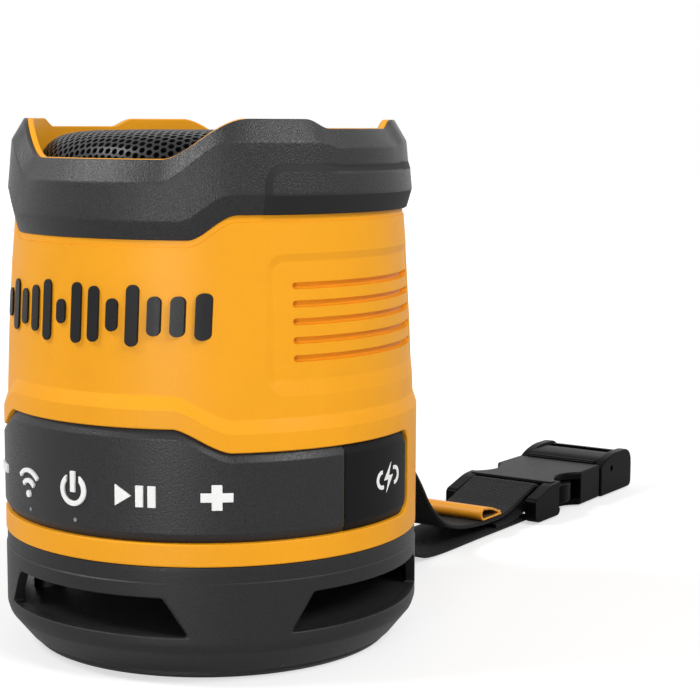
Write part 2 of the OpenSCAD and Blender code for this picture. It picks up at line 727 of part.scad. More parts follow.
// Band of the panel with its lower edge chamfered
module panel_band(inside) turned() polygon([
    [inside, panel_z], [panel_r - panel_chamfer[0], panel_z], [panel_r, panel_z + panel_chamfer[1]],
    [panel_r, panel_top + 1], [inside, panel_top + 1]]);
pocket_floor = key_flange_w + key_flange_t + run;
key_names = ["minus", "wireless", "power", "play", "plus"];

module control_panel() color(RUBBER) difference() {
    intersection() {
        panel_band(panel_in_r);
        panel_area(fit);
    }
    door_side(-seam_half - fit);
    for (i = [0 : len(key_names) - 1]) at_angle(key_angles[i]) translate([0, symbol_z, 0]) {
        translate([0, 0, inner_r]) linear_extrude(10) symbol(key_names[i], run);
        translate([0, 0, inner_r]) cylinder(r = key_flange_r + run, h = pocket_floor - inner_r);
    }
    for (a = light_angles) at_angle(a) translate([0, light_z, inner_r]) cylinder(r = light_r + fit, h = 8);
}

switch_z0 = flex_r + 0.01;
switch_h = 2;
switch_w = 6;
button_h = 0.5;
module key(i) color(WHITE) at_angle(key_angles[i]) translate([0, symbol_z, 0]) {
    intersection() {
        translate([0, 0, key_flange_w]) linear_extrude(10) symbol(key_names[i], 0);
        translate([0, -symbol_z, 0]) rotate([-90, 0, 0]) disc(panel_r + symbol_proud, 0, far);
    }
    translate([0, 0, key_flange_w]) cylinder(r = key_flange_r, h = key_flange_t);
    tip = switch_z0 + switch_h + button_h + key_travel + 0.05;
    translate([0, 0, tip]) cylinder(r = plunger_r, h = key_flange_w + 0.2 - tip);
}
module key_minus() key(0);
module key_wireless() key(1);
module key_power() key(2);
module key_play() key(3);
module key_plus() key(4);

module status_lights() color(WHITE) for (a = light_angles) at_angle(a)
    translate([0, light_z, flex_r + 0.02]) cylinder(r = light_r, h = panel_r + 0.05 - flex_r);

// Keypad behind the panel
module keypad_carrier() color(BLACK) difference() {
    union() {
        sector(-carrier_foot[1] - 1, carrier_foot[1] + 1)
            band(carrier_r - carrier_t, carrier_r, carrier_low, carrier_high);
        for (s = [[-carrier_foot[1], -carrier_foot[0]], carrier_foot])
            sector(s[0], s[1])
                band(carrier_r - carrier_t / 2, inner_r - 0.02, carrier_low + 1, carrier_high - 1);
        intersection() {
            disc(carrier_r - carrier_t + 0.5, 0, far);
            for (x = [-1, 1], z = board_screw_z) translate([x * board_screw[0], board_y - board_t, z])
                rotate([90, 0, 0]) cylinder(r = small_screw_r + 1.6, h = far);
        }
    }
    for (x = [-1, 1], z = board_screw_z) translate([x * board_screw[0], board_y + 1, z]) rotate([90, 0, 0])
        cylinder(r = small_screw_r + 0.05, h = board_t + 5.2);
    for (s = [-1, 1], z = carrier_screw_z) at_angle(s * carrier_screw_at)
        translate([0, z, carrier_r - carrier_t - 1]) cylinder(r = small_screw_r + fit, h = 10);
}

module keypad_flex() color(BOARD) sector(-flex_end, flex_end)
    band(carrier_r + 0.05, flex_r, light_z - 1.2, symbol_z + 6);

module tact_switches() color(BLACK) for (a = key_angles) at_angle(a)
    translate([0, symbol_z, switch_z0]) {
        translate([-switch_w / 2, -switch_w / 2, 0]) cube([switch_w, switch_w, switch_h]);
        cylinder(r = 1.2, h = switch_h + button_h);
    }

module carrier_screws() color(STEEL) for (s = [-1, 1], z = carrier_screw_z)
    at_angle(s * carrier_screw_at) translate([0, z, carrier_r - carrier_t - small_head_h - fit])
        screw(inner_r + small_bite - carrier_r + carrier_t + small_head_h,
              small_screw_r, small_head_r, small_head_h);

module main_board() color(BOARD) difference() {
    translate([-board_half, board_y - board_t, carrier_low + 1])
        cube([2 * board_half, board_t, carrier_high - carrier_low - 2]);
    for (x = [-1, 1], z = board_screw_z)
        translate([x * board_screw[0], 0, z]) rotate([90, 0, 0]) cylinder(r = small_screw_r + fit, h = far);
}

module board_parts() color(BLACK) {
    for (p = [[-14, 8, 8, 8, 1.2], [4, 6, 12, 9, 1.6], [-15, 18, 14, 5, 4], [8, 17, 6, 6, 4.5]])
        translate([p[0], board_y, carrier_low + p[1]]) cube([p[2], p[4], p[3]]);
}

module board_screws() color(STEEL) for (x = [-1, 1], z = board_screw_z)
    translate([x * board_screw[0], board_y + small_head_h, z]) rotate([90, 0, 0])
        screw(board_t + small_head_h + 3.2, small_screw_r, small_head_r, small_head_h);

// Charge socket behind the door
socket_l = 7.4;
socket_face = panel_floor_r - 0.4;
socket_t = 0.35;
function centred(w, h) = box_points(-w / 2, -h / 2, w / 2, h / 2);
module charge_socket() color(STEEL) along_x() translate([0, socket_z, socket_face - socket_l])
    difference() {
        linear_extrude(socket_l) polygon(rounded(centred(socket_w, socket_h), 1.4));
        translate([0, 0, 1]) linear_extrude(far)
            polygon(rounded(centred(socket_w - 2 * socket_t, socket_h - 2 * socket_t), 1.1));
    }

module charge_board() color(BOARD) translate([charge_board_x, -charge_board_w / 2, shelf_top])
    cube([inner_r - 1.5 - charge_board_x, charge_board_w, charge_board_t]);

// Battery
tray_z = flange_top + radiator_travel + 2;
tray_t = 2;
cell_gap = 1.2;
cell_y = [3, 3 + cell_d + cell_gap];
cell_z = tray_z + tray_t + cell_d / 2 + 0.02;
tray_y = [cell_y[0] - cell_d / 2 - 1.8, cell_y[1] + cell_d / 2 + 1.8];
tray_wall = 1.5;
tray_wall_h = 12;
tray_feet = [for (s = [-1, 1]) [s * (tray_x + 3.2), 15]];

module battery_tray() color(BLACK) difference() {
    union() {
        translate([-tray_x, tray_y[0], tray_z]) cube([2 * tray_x, tray_y[1] - tray_y[0], tray_t]);
        for (y = [tray_y[0], tray_y[1] - tray_wall])
            translate([-tray_x * 0.58, y, tray_z]) cube([tray_x * 1.16, tray_wall, tray_wall_h + 1]);
        for (x = [-tray_x, tray_x - tray_wall])
            translate([x, cell_y[0] - 7, tray_z]) cube([tray_wall, cell_y[1] - cell_y[0] + 12, tray_wall_h]);
        for (p = tray_feet) translate([p[0], p[1], 0]) {
            disc(3.4, flange_top, tray_z + tray_t);
            translate([p[0] > 0 ? -4 : 0, -3, tray_z]) cube([4, 6, tray_t]);
        }
    }
    for (p = tray_feet) translate([p[0], p[1], 0]) disc(small_screw_r + fit, 0, far);
}

module tray_screws() color(STEEL) for (p = tray_feet)
    translate([p[0], p[1], tray_z + tray_t + small_head_h]) mirror([0, 0, 1])
        screw(tray_z + tray_t + small_head_h - flange_z - 0.9, small_screw_r, small_head_r, small_head_h);

module battery_cells() color("#3f6f9f") for (y = cell_y)
    translate([-cell_l / 2, y, cell_z]) rotate([0, 90, 0]) {
        cylinder(d = cell_d, h = cell_l - 1.2);
        cylinder(d = 8, h = cell_l);
    }

// Passive radiator under the flange
radiator_screw_at = (radiator_frame_r + flange_r) / 2;
radiator_screw_angles = [0 : 90 : 270];
radiator_screw_r = 1;
radiator_t = 2.4;
radiator_frame_w = 9;
radiator_open_r = radiator_frame_r - radiator_frame_w;
radiator_r = radiator_open_r - radiator_roll;
weight_r = 9;
radiator_z = flange_z - radiator_t;

module radiator_frame() color(BLACK) difference() {
    tube(radiator_frame_r, radiator_open_r, radiator_z, flange_z);
    around(radiator_screw_at, radiator_screw_angles) disc(radiator_screw_r + fit, 0, far);
}
module radiator_surround() color(RUBBER)
    half_roll(radiator_r, radiator_open_r, radiator_z + 0.6, 0.8, false);
module radiator_cone() color(BLACK) turned() polygon([
    [0, radiator_z - 1], [weight_r, radiator_z - 1], [radiator_r, radiator_z + 0.6],
    [radiator_r, radiator_z + 1.8], [weight_r, radiator_z + 0.8], [0, radiator_z + 0.8]]);
module radiator_weight() color(STEEL) disc(weight_r, radiator_z + 0.8, radiator_z + 4.4);
module radiator_screws() color(STEEL) around(radiator_screw_at, radiator_screw_angles)
    translate([0, 0, radiator_z - 1.2]) screw(radiator_t + flange_t, radiator_screw_r, 1.8, 1.2);

// Charge-port door
door_plug = [7, 1.7, 1.2];
module port_door() color(RUBBER) union() {
    intersection() {
        panel_band(panel_in_r + 0.1);
        panel_area(run);
        door_side(-seam_half + run);
    }
    translate([panel_in_r - door_plug[2], -door_plug[0] / 2, socket_z - door_plug[1] / 2])
        cube([door_plug[2] + 0.8, door_plug[0], door_plug[1]]);
}
module door_symbol() color(WHITE) intersection() {
    tube(panel_r + symbol_proud, panel_r + 0.01, panel_z, panel_top);
    along_x() translate([2, socket_z]) linear_extrude(far) symbol("charge", 0);
}

// Strap

module strap_bar() color(STEEL) translate([-lug_x - lug_t, lug_y, lug_z]) rotate([0, 90, 0])
    cylinder(d = bar_d, h = 2 * (lug_x + lug_t));

// Smooth path through a few points
path_steps = 5;
wrap_steps = 16;
function between(p0, p1, p2, p3, t) = 0.5 * (
    2 * p1 + (p2 - p0) * t + (2 * p0 - 5 * p1 + 4 * p2 - p3) * t * t
    + (3 * p1 - p0 - 3 * p2 + p3) * t * t * t);
function smooth_path(p) = [
    for (i = [0 : len(p) - 2], s = [0 : path_steps - 1])
        between(p[max(0, i - 1)], p[i], p[i + 1], p[min(len(p) - 1, i + 2)], s / path_steps),
    p[len(p) - 1]];
function wrap(centre, r, from, to) = [
    for (i = [0 : wrap_steps]) let (a = from + (to - from) * i / wrap_steps) on_ring(centre, r, a)];
// Band of a thickness along a path, with its ends square to the path
function side_of(p, i, half) =
    let (d = unit(p[min(len(p) - 1, i + 1)] - p[max(0, i - 1)])) p[i] + half * [-d[1], d[0]];
function ribbon(p, t) = concat(
    [for (i = [0 : len(p) - 1]) side_of(p, i, t / 2)],
    [for (i = [len(p) - 1 : -1 : 0]) side_of(p, i, -t / 2)]);

floor_gap = 0.2;
sleeve_bar = [lug_y + 109, 8.6];
sleeve_bar_r = 2;
lug_wrap = bar_d / 2 + turn + 0.02 + web_t / 2;
sleeve_wrap = sleeve_bar_r + fit + web_t / 2;
low_z = floor_gap + web_t / 2;
tail_z = low_z + web_t + 0.1;
// Route of the webbing, seen from the side: distance behind the lug bar, height
function behind(route) = [for (p = route) [lug_y + p[0], p[1]]];
upper_route = behind([
    [29, 28.5], [38, 17], [47, 9.8], [55, 7], [63, 5.7], [73, 4.9], [83, 4.9], [91, 6], [99, 8.4]]);
lower_route = behind([
    [0.5, 42], [4, 28], [10, 17], [20, 8], [30, 3.2], [41, low_z], [73, low_z], [106.5, low_z]]);
// Where the webbing leaves the lug bar and the sleeve's bar
upper_leave = 42;
lower_leave = 200;
ramp_leave = 120;
tail_leave = -100;

function backwards(p) = [for (i = [len(p) - 1 : -1 : 0]) p[i]];
function on_ring(centre, r, a) = centre + r * [cos(a), sin(a)];
function inner_points(p) = [for (i = [1 : len(p) - 2]) p[i]];
lug = [lug_y, lug_z];
tail_route = behind([[99, 3.6], [91, tail_z], [81, tail_z]]);
strap_path = concat(
    backwards(smooth_path(concat([on_ring(sleeve_bar, sleeve_wrap, tail_leave)], tail_route))),
    inner_points(wrap(sleeve_bar, sleeve_wrap, tail_leave, ramp_leave)),
    backwards(smooth_path(concat(
        [on_ring(lug, lug_wrap, upper_leave)], upper_route, [on_ring(sleeve_bar, sleeve_wrap, ramp_leave)]))),
    inner_points(wrap(lug, lug_wrap, upper_leave, lower_leave)),
    smooth_path(concat([on_ring(lug, lug_wrap, lower_leave)], lower_route)));

module strap_webbing() color(WEB) along_x() linear_extrude(web_w, center = true)
    polygon(ribbon(strap_path, web_t));

// Sewn-on tab: a folded strip with a round fold and flat sewn ends
tab_t = 0.9;
tab_y = lug_y + 73;
tab_r = 1.8;
tab_l = 11.5;
module tab_outline() {
    seat = 4.9 + web_t / 2 + 0.15 + tab_t / 2;
    centre = [tab_y, seat + tab_r];
    sewn = tab_y + tab_l;
    path = concat([[sewn, seat]], wrap(centre, tab_r, 270, 75), [[sewn, seat + tab_t + 0.02]]);
    polygon(ribbon(path, tab_t));
}
module strap_tab() color(YELLOW) along_x() linear_extrude(web_w, center = true) tab_outline();

// Buckle
buckle_y = [for (y = [99, 113, 117, 135, 152]) lug_y + y];
buckle_x = buckle_w / 2;
cheek_t = 3.5;
sleeve_z = [0.3, buckle_h + 0.3];
plate_t = 2.4;
plug_end = buckle_y[4] + 27;
prong_x = [8, 10.6];
mouth_z = [sleeve_z[0] + plate_t, sleeve_z[1] - plate_t];
prong_z = [mouth_z[0] + run, mouth_z[1] - run];
plug_top = buckle_h + 3;

module block(x0, x1, y0, y1, z0, z1) translate([x0, y0, z0]) cube([x1 - x0, y1 - y0, z1 - z0]);
module both_sides() for (s = [0, 1]) mirror([s, 0, 0]) children();

module buckle_sleeve() color(BLACK) difference() {
    union() {
        block(-buckle_x, buckle_x, buckle_y[1], buckle_y[4], sleeve_z[0], sleeve_z[1]);
        both_sides() translate([buckle_x - cheek_t, 0, 0]) along_x() linear_extrude(cheek_t + 0.8)
            polygon(rounded(box_points(buckle_y[0], sleeve_z[0], buckle_y[2], sleeve_z[1] + 0.4), 2.5));
        translate([-buckle_x, sleeve_bar[0], sleeve_bar[1]]) rotate([0, 90, 0])
            cylinder(r = sleeve_bar_r, h = buckle_w);
    }
    block(cheek_t - buckle_x, buckle_x - cheek_t, buckle_y[1] + plate_t, far, mouth_z[0], mouth_z[1]);
    both_sides() block(buckle_x - 6, far, buckle_y[2], buckle_y[3], mouth_z[0], mouth_z[1]);
    both_sides() translate([buckle_x + 6, (buckle_y[2] + buckle_y[3]) / 2, 0]) disc(10.5, 0, far);
}

module plug_profile(inset) polygon(rounded([
    [buckle_y[4] + run, sleeve_z[0]], [plug_end - inset, sleeve_z[0]],
    [plug_end - inset, plug_top - 3 - inset],
    [plug_end - 9, plug_top - inset], [buckle_y[4] + 12, plug_top - inset],
    [buckle_y[4] + run, sleeve_z[1] - 1 - inset]], 1.2));

plug_corner = 6;
module buckle_plug_block() union() {
    both_sides() translate([buckle_x - cheek_t, 0, 0]) along_x() linear_extrude(cheek_t) plug_profile(0);
    along_x() linear_extrude(buckle_w - 2 * cheek_t + 1, center = true) plug_profile(0.6);
    block(-3, 3, buckle_y[2] + 6, buckle_y[4] + 2, prong_z[0], prong_z[1]);
}
module buckle_plug() color(BLACK) difference() {
    intersection() {
        buckle_plug_block();
        linear_extrude(far) polygon(rounded(box_points(-buckle_x, 0, buckle_x, plug_end), plug_corner));
    }
    // Webbing slot round the end bar, open below and at the end
    slot_x = buckle_x - cheek_t - 0.5;
    block(-slot_x, slot_x, plug_end - 12.5, plug_end - 7.5, -1, far);
    // Prong roots
    both_sides() block(prong_x[0] - 0.02, prong_x[1] + 0.02, buckle_y[4] - 1, buckle_y[4] + 4,
                       prong_z[0] - 0.02, prong_z[1] + 0.02);
    // Pin hole in each cheek
    translate([0, buckle_y[4] + 9, buckle_h - 2.4]) rotate([0, 90, 0]) both_sides_x(1.1);
}
module both_sides_x(r) for (s = [0, 1]) mirror([0, 0, s]) translate([0, 0, buckle_x - 1.5])
    cylinder(r = r, h = 2);

module buckle_prongs() color(BLACK) both_sides()
    translate([0, 0, prong_z[0]]) linear_extrude(prong_z[1] - prong_z[0]) union() {
        polygon(box_points(prong_x[0], buckle_y[2] + 2, prong_x[1], buckle_y[4] + 4));
        intersection() {
            translate([prong_x[0] - 3, (buckle_y[2] + buckle_y[3]) / 2]) circle(buckle_x - prong_x[0] + 2.4);
            polygon(box_points(prong_x[0], buckle_y[2] + run, far, buckle_y[3] - run));
        }
    }

foot_pad();
base_housing();
base_deflector();
base_screws();
deflector_screws();
main_housing();
emblem_bars();
bumper_ring();
rim_grille();
grille_ring();
driver_baffle();
baffle_screws();
driver_basket();
driver_gasket();
driver_screws();
driver_back_plate();
driver_magnet();
driver_top_plate();
driver_spider();
driver_voice_coil();
driver_cone();
driver_dust_cap();
driver_surround();
control_panel();
key_minus();
key_wireless();
key_power();
key_play();
key_plus();
status_lights();
keypad_carrier();
keypad_flex();
tact_switches();
carrier_screws();
main_board();
board_parts();
board_screws();
charge_socket();
charge_board();
battery_tray();
battery_cells();
tray_screws();
radiator_frame();
radiator_surround();
radiator_cone();
radiator_weight();
radiator_screws();
port_door();
door_symbol();
strap_bar();
strap_webbing();
strap_tab();
buckle_sleeve();
buckle_plug();
buckle_prongs();
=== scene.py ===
"""Looks of a rugged round portable speaker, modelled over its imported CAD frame.

Lengths in this file are millimetres unless a comment says metres. Properties and meshes hold metres.
Angles on the body count from the front, which faces -Y, towards the charge-port side, which faces +X.
"""

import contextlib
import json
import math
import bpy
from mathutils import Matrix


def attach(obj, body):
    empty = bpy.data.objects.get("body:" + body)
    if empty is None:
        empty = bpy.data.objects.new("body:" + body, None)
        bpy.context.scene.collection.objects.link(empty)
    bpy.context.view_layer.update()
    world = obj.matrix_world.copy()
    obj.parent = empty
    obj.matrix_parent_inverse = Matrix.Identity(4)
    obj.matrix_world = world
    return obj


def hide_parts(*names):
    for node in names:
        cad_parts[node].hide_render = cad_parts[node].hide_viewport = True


bl_info = {
    "name": "Rugged portable speaker",
    "version": (1, 0, 0),
    "blender": (4, 5, 0),
    "location": "View3D > Sidebar > Speaker",
    "description": "Models the speaker's mouldings, grille, strap and buckle over its CAD frame",
    "category": "Object",
}

import bpy
import numpy as np
from mathutils import Matrix, Vector

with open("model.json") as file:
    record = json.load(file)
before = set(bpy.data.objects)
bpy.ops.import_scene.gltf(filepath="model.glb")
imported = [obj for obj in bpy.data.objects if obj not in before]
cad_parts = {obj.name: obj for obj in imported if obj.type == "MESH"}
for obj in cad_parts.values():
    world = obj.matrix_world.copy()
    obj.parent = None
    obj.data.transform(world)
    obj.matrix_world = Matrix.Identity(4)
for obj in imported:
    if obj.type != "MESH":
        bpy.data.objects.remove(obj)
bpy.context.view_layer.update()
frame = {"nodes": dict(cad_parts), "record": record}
MM = 0.001

# Body, as the CAD source has it. Angles on it become lengths round its skin
BODY_R = 55.0
DEGREE = BODY_R * math.pi / 180
HALF_TURN = 180 * DEGREE
QUARTER_TURN = HALF_TURN / 2
# Its taper: heights, with the radius at each
SKIN_Z = (57.5, 67, 78, 84, 100, 108, 120)
SKIN_R = (54.1, 53.87, 53.44, 53.18, 52.2, 51.5, 50.6)
# Its rows, named by their height at the sides: flare over the control panel, top of the sides, hem
FLARE_BAND = 62.1
FLARE_END = 65.4
SIDE_TOP = 105.5
HEM_ROW = 112.5
# Its lower end with the radius of the edge, and two radii and the height of the flange that closes it
BASE_Z = 29.7
BASE_EDGE = 0.4
FLANGE_R = (34, 49.8)
FLANGE_Z = 31
# Width over which a sharp step falls, and where the grid of the body closes, away from its features
STEP = 0.12
BODY_SEAM = -0.745 * HALF_TURN
# Side panel: half its length round the body, lower and upper edge
SIDE_PANEL = (37.5 * DEGREE, 70.5, 104.9)
# Widths of its sloping edges at the ends, below and above, and its corner
SIDE_SLOPE = (1.8, 3.8, 1.9)
SIDE_CORNER = 5.0
SLOT_ROWS = (97.1, 92.7, 88.4, 83.9, 79.5)
SLOT_R = 0.85
SLOT_WALL = 0.14
SLOT_HALF = 30 * DEGREE - SLOT_R
# Strap pocket at the back: half its width, lower and upper edge, distance of its floor behind the axis
POCKET = (13.8, 45.0, 65.0, 51.4)
POCKET_EDGE = 0.5
# Strap lugs: distance of their bar behind the axis and its height, their radius, foot and two sides
LUG = (57.0, 56.0)
LUG_R = 5.2
LUG_FOOT = 48.0
LUG_X = (13.8, 18.5)

# Control panel: radius, lower edge, upper edge at the sides, its rise across the front and where that runs
PANEL_R = 55.05
PANEL_Z = 35.4
PANEL_SIDE_TOP = 57.5
PANEL_RISE = 5.8
PANEL_SHOULDER = (26.4, 37.1)
# Angle of its ends, its corner, depth and width of its chamfer, and the gap round it
PANEL_END = 105.5
PANEL_CORNER = 4.0
PANEL_CHAMFER = (1.1, 2.2)
PANEL_GAP = 0.18
# Rows this near to its lower and upper edge keep their distance from it
PANEL_MARGIN = 6
# Depth of the bed that it lies in, and width and depth of the bed's rounded edge
BED_DEPTH = 2.4
BED_EDGE = (0.35, 0.3)
# Seam of the charge door: its angle, half its width, corner and chamfer beside it
DOOR_SEAM = 74.5
SEAM_HALF = 0.12
SEAM_CORNER = 0.7
SEAM_CHAMFER = 0.35
# Hole for the charge socket: half its width, lower and upper edge. Two corners of the door's plug
SOCKET_HOLE = (4.65, 45.05, 48.55)
DOOR_PLUG = ((51.3, -3.5, 45.95), (53.4, 3.5, 47.65))
# Charge symbol: its middle, and the gap behind it and its thickness
CHARGE_MARK = (2.0, 46.8)
MARK_RISE = (0.02, 0.16)

# Bumper lines: height at the front, height at the sides, start and end of the rise across the width
RIM_LINE = (127.2, 137.0, 19.0, 36.0)
CREASE_LINE = (121.8, 131.5, 20.5, 36.0)
BELLY_LINE = (112.9, 119.1, 26.0, 36.5)
HEM_LINE = (108.2, 114.2, 27.0, 36.5)
# Radius at each line
RIM_R = 47.5
CREASE_R = 51.7
BELLY_R = 52.9
NECK_R = 51.5
# Dip of the rim at the sides, where it runs, and the crease's share of it
SIDE_NOTCH = 2.3
SIDE_RISE = (12.4, 19.1)
CREASE_NOTCH = 0.6
# Step of the body under the hem: its height and depth
HEM_STEP = 1.7
HEM_DEPTH = 0.3
# Height of the bumper's face at the sides, from belly to crease, and the grid rows below it
FACE_H = 12.4
BELOW_ROWS = 10
# Side pads: angle of their ends, how far they stand out, top over the belly, sloping edge, corner
PAD_HALF = 38.0
PAD_PROUD = 0.4
PAD_TOP = 7.2
PAD_SLOPE = 1.9
PAD_CORNER = 5.0
# Top of the bumper: distance of its inner and outer edge from the rim, and how far its inside reaches down
BUMPER_TOP = (0.1, 0.95, 5)
# Roundings of its section, from the hem to the inner edge
BUMPER_ROUNDS = (0.35, 0.4, 0.4, 0.35, 0.3)
# Rim wall inside the bumper: highest point, inner radius, lower ends of its faces, rise over the bumper
RIM_Z = 137.0
RIM_INNER_R = 46.0
RIM_FOOT = (110.0, 116.0)
RIM_LIP = 0.15

# Grille section: radius, height and distance along it from the middle
GRILLE_R = (0, 20, 30, 34.95, 37.9, 39.85, 41.4, 42.55, 43.5, 44.2, 44.6, 44.75)
GRILLE_Z = (134.2, 134.1, 133.9, 133.45, 132.85, 132.1, 131.15, 130.15, 128.85, 127.3, 125.65, 123.95)
GRILLE_ALONG = np.append(0, np.cumsum(np.hypot(np.diff(GRILLE_R), np.diff(GRILLE_Z))))
# Thickness of its sheet, foot of its plain skirt, and how far inside it the dark sheet of painted shade lies
GRILLE_SHEET = 0.7
GRILLE_FOOT = 120.5
SHADE_SHEET_GAP = (0.75, 1.15)

# Base section: rows, with the radius and height of each
BASE_ROWS = (1.0, 1.5, 2.0, 2.2, 7.9, 8.3, 9.8, 10.4, 25.4, 25.7, 29.2, 29.45, 29.6, 30.2, 31.0)
BASE_RADII = (44, 48.2, 49.3, 49.6, 54.25, 54.45, 54.93, 55, 55, 54.7, 54.7, 54.6, 54.35, 52.6, 52.4)
BASE_HEIGHTS = (2.1, 2.05, 2.0, 2.15, 7.9, 8.3, 9.8, 10.4, 25.4, 25.7, 29.2, 29.5, 29.6, 29.6, 24)
# What lies further out than this is its outer wall
OUTER_R = BODY_R - 1.5
# Sound windows: lower and upper edge, half width at both, corner, width and depth of the rim, wall
SILL_Z = 12.3
WINDOW_Z = 21.8
WINDOW_SILL = 31.8 * DEGREE
WINDOW_TOP = 25.3 * DEGREE
WINDOW_CORNER = 1.2
WINDOW_RIM = (0.5, 0.45)
WINDOW_WALL = 2.4
# Posts between the windows: radius, distance from the axis, lower and upper end
POST = (4.0, 44.0, 4.0, 31.0)

# Webbing, seen from the side: distance behind the axis and height
SLEEVE_BAR = (166.0, 8.6)
UPPER_ROUTE = [
    (86, 28.5), (95, 17), (104, 9.8), (112, 7), (120, 5.7), (130, 4.9), (140, 4.9), (148, 6), (156, 8.4)
]
LOWER_ROUTE = [(57.5, 42), (61, 28), (67, 17), (77, 8), (87, 3.2), (98, 0.85), (130, 0.85), (163.5, 0.85)]
TAIL_ROUTE = [(156, 3.6), (148, 2.25), (138, 2.25)]
# Its turns round the two bars: radius, and angles of both ends in degrees
LUG_TURN = (3.25, 42, 200)
SLEEVE_TURN = (2.8, -100, 120)
# Folded tab: start of its fold, height of its seat, its sewn end, radius of the fold, thickness
TAB = (130.0, 6.15, 141.5)
TAB_R = 1.8
TAB_THICKNESS = 0.75
# Dark strip inside the tab's fold, painted shade: distance from the tab's middle, and thickness
FOLD_SHADE = (0.43, 0.12)

# Buckle: front of the horns, front of the box, start and end of the scallops, joint of its halves
BUCKLE_Y = (156, 170, 174, 192, 209)
SLEEVE_Z = (0.3, 12.3)
MOUTH_Z = (2.7, 9.9)
ARM_Z = (3.0, 9.6)
# Scallops and the pads that show in them: distance of the centre from the middle, and radius
SCALLOP = (23.6, 11.2)
PRONG_PAD = (5, 11.4)
# Horns and cheeks: distance of their two sides from the middle
HORN_X = (13.5, 17.8)
CHEEK_X = (13.5, 17.0)
# Plug: height, length behind the joint, ends of its webbing slot behind the joint
PLUG_TOP = 15.0
PLUG_LENGTH = 26.4
PLUG_SLOT = (14.5, 19.5)

# Values that most of a noise pattern lies between, and the value that stands for no grain
NOISE_SPAN = {"From Min": 0.3, "From Max": 0.7}
FLAT_GRAIN = 0.42
# Slow drift of a moulding's colour: its width, and the shares that it varies between
DRIFT_WIDTH = 18.0
DRIFT = {"To Min": 0.97, "To Max": 1.03}
# Surface without grain, where the colour is also darkened as painted shade: share of the colour that it
# keeps, and what it adds to the roughness
SMOOTH_SHADE = (0.15, 0.35)
# Painted shade between the threads and painted highlight on top of them: shares of a woven colour
WEAVE_SHADE_AND_HIGHLIGHT = (0.45, 1.35)
# How far scratches take a metal's roughness down and up
SCRATCH = (0.1, 0.12)

# Light of the white room, and glow of the table near the speaker
WORLD_LIGHT = 0.19
FLOOR_GLOW = 0.6
# Share of that glow that gloss mirrors, and distances between which it grows to white, in metres
FLOOR_MIRRORED = 0.35
GLOW_REACH = (0.2, 0.7)
# Lamps: power in watts, width, place and aim in metres
LAMPS = {
    "Key": (4.1, 0.28, (0.27, -1.05, 0.17), (0, 0, 0.06)),
    "Fill": (8.4, 0.45, (0.86, -0.02, 0.86), (0, 0.03, 0.06)),
    "Top": (6.4, 0.26, (-0.6, -0.52, 0.92), (0, 0, 0.1)),
}
# Camera: focal length, place in metres, turns about Z, X and its own axis in degrees
LENS = 90.08
CAMERA_PLACE = (0.28794, -0.36855, 0.1361)
CAMERA_TURNS = (33.451, 82.63, 0.29)


def linear(code):
    """Linear colour of an sRGB hex code, with full alpha."""
    shares = [int(code[i : i + 2], 16) / 255 for i in (0, 2, 4)]
    return [s / 12.92 if s <= 0.04045 else ((s + 0.055) / 1.055) ** 2.4 for s in shares] + [1.0]


# Settings that a user would change


class SpeakerSizes(bpy.types.PropertyGroup):
    """Sizes of the speaker's details."""

    slot_count: bpy.props.IntProperty(
        name="Side slots", description="Number of slots in each side panel", default=5, min=1, max=5
    )
    slot_depth: bpy.props.FloatProperty(
        name="Slot depth", description="Depth of a side slot", default=1.4 * MM, unit="LENGTH"
    )
    side_depth: bpy.props.FloatProperty(
        name="Panel depth", description="How far a side panel is set in", default=0.65 * MM, unit="LENGTH"
    )
    hole_pitch: bpy.props.FloatProperty(
        name="Grille pitch", description="Distance between grille holes", default=2.15 * MM, unit="LENGTH"
    )
    hole_width: bpy.props.FloatProperty(
        name="Grille hole", description="Diameter of a grille hole", default=1.6 * MM, unit="LENGTH"
    )
    web_width: bpy.props.FloatProperty(
        name="Webbing width", description="Width of the strap", default=25.0 * MM, unit="LENGTH"
    )
    web_thickness: bpy.props.FloatProperty(
        name="Webbing thickness", description="Thickness of the strap", default=1.3 * MM, unit="LENGTH"
    )


class SpeakerColours(bpy.types.PropertyGroup):
    """Colours of the speaker's finishes."""

    body: bpy.props.FloatVectorProperty(
        name="Body", description="Moulded body", subtype="COLOR", size=4, default=linear("f4a51a")
    )
    bumper: bpy.props.FloatVectorProperty(
        name="Bumper", description="Soft bumper", subtype="COLOR", size=4, default=linear("1d1d1f")
    )
    panel: bpy.props.FloatVectorProperty(
        name="Panel", description="Control panel", subtype="COLOR", size=4, default=linear("1d1d1f")
    )
    base: bpy.props.FloatVectorProperty(
        name="Base", description="Base housing", subtype="COLOR", size=4, default=linear("202022")
    )
    symbols: bpy.props.FloatVectorProperty(
        name="Symbols", description="Key symbols", subtype="COLOR", size=4, default=linear("f6f6f4")
    )
    webbing: bpy.props.FloatVectorProperty(
        name="Webbing", description="Strap", subtype="COLOR", size=4, default=linear("151516")
    )


def sizes():
    """The sizes that the scene holds."""
    return bpy.context.scene.speaker_sizes


def colours():
    """The colours that the scene holds."""
    return bpy.context.scene.speaker_colours


# Materials


def feed(tree, value, socket):
    """Sets a socket's value, or links the socket where the value is a node or one of a node's outputs."""
    if isinstance(value, bpy.types.Node):
        value = next(out for out in value.outputs if out.enabled)
    if isinstance(value, bpy.types.NodeSocket):
        tree.links.new(value, socket)
    else:
        socket.default_value = value


def add(tree, kind, sockets=None, **settings):
    """Adds a node with its settings, and sets or links its sockets."""
    made = tree.nodes.new(kind)
    for key, value in settings.items():
        setattr(made, key, value)
    for key, value in (sockets or {}).items():
        feed(tree, value, made.inputs[key])
    return made


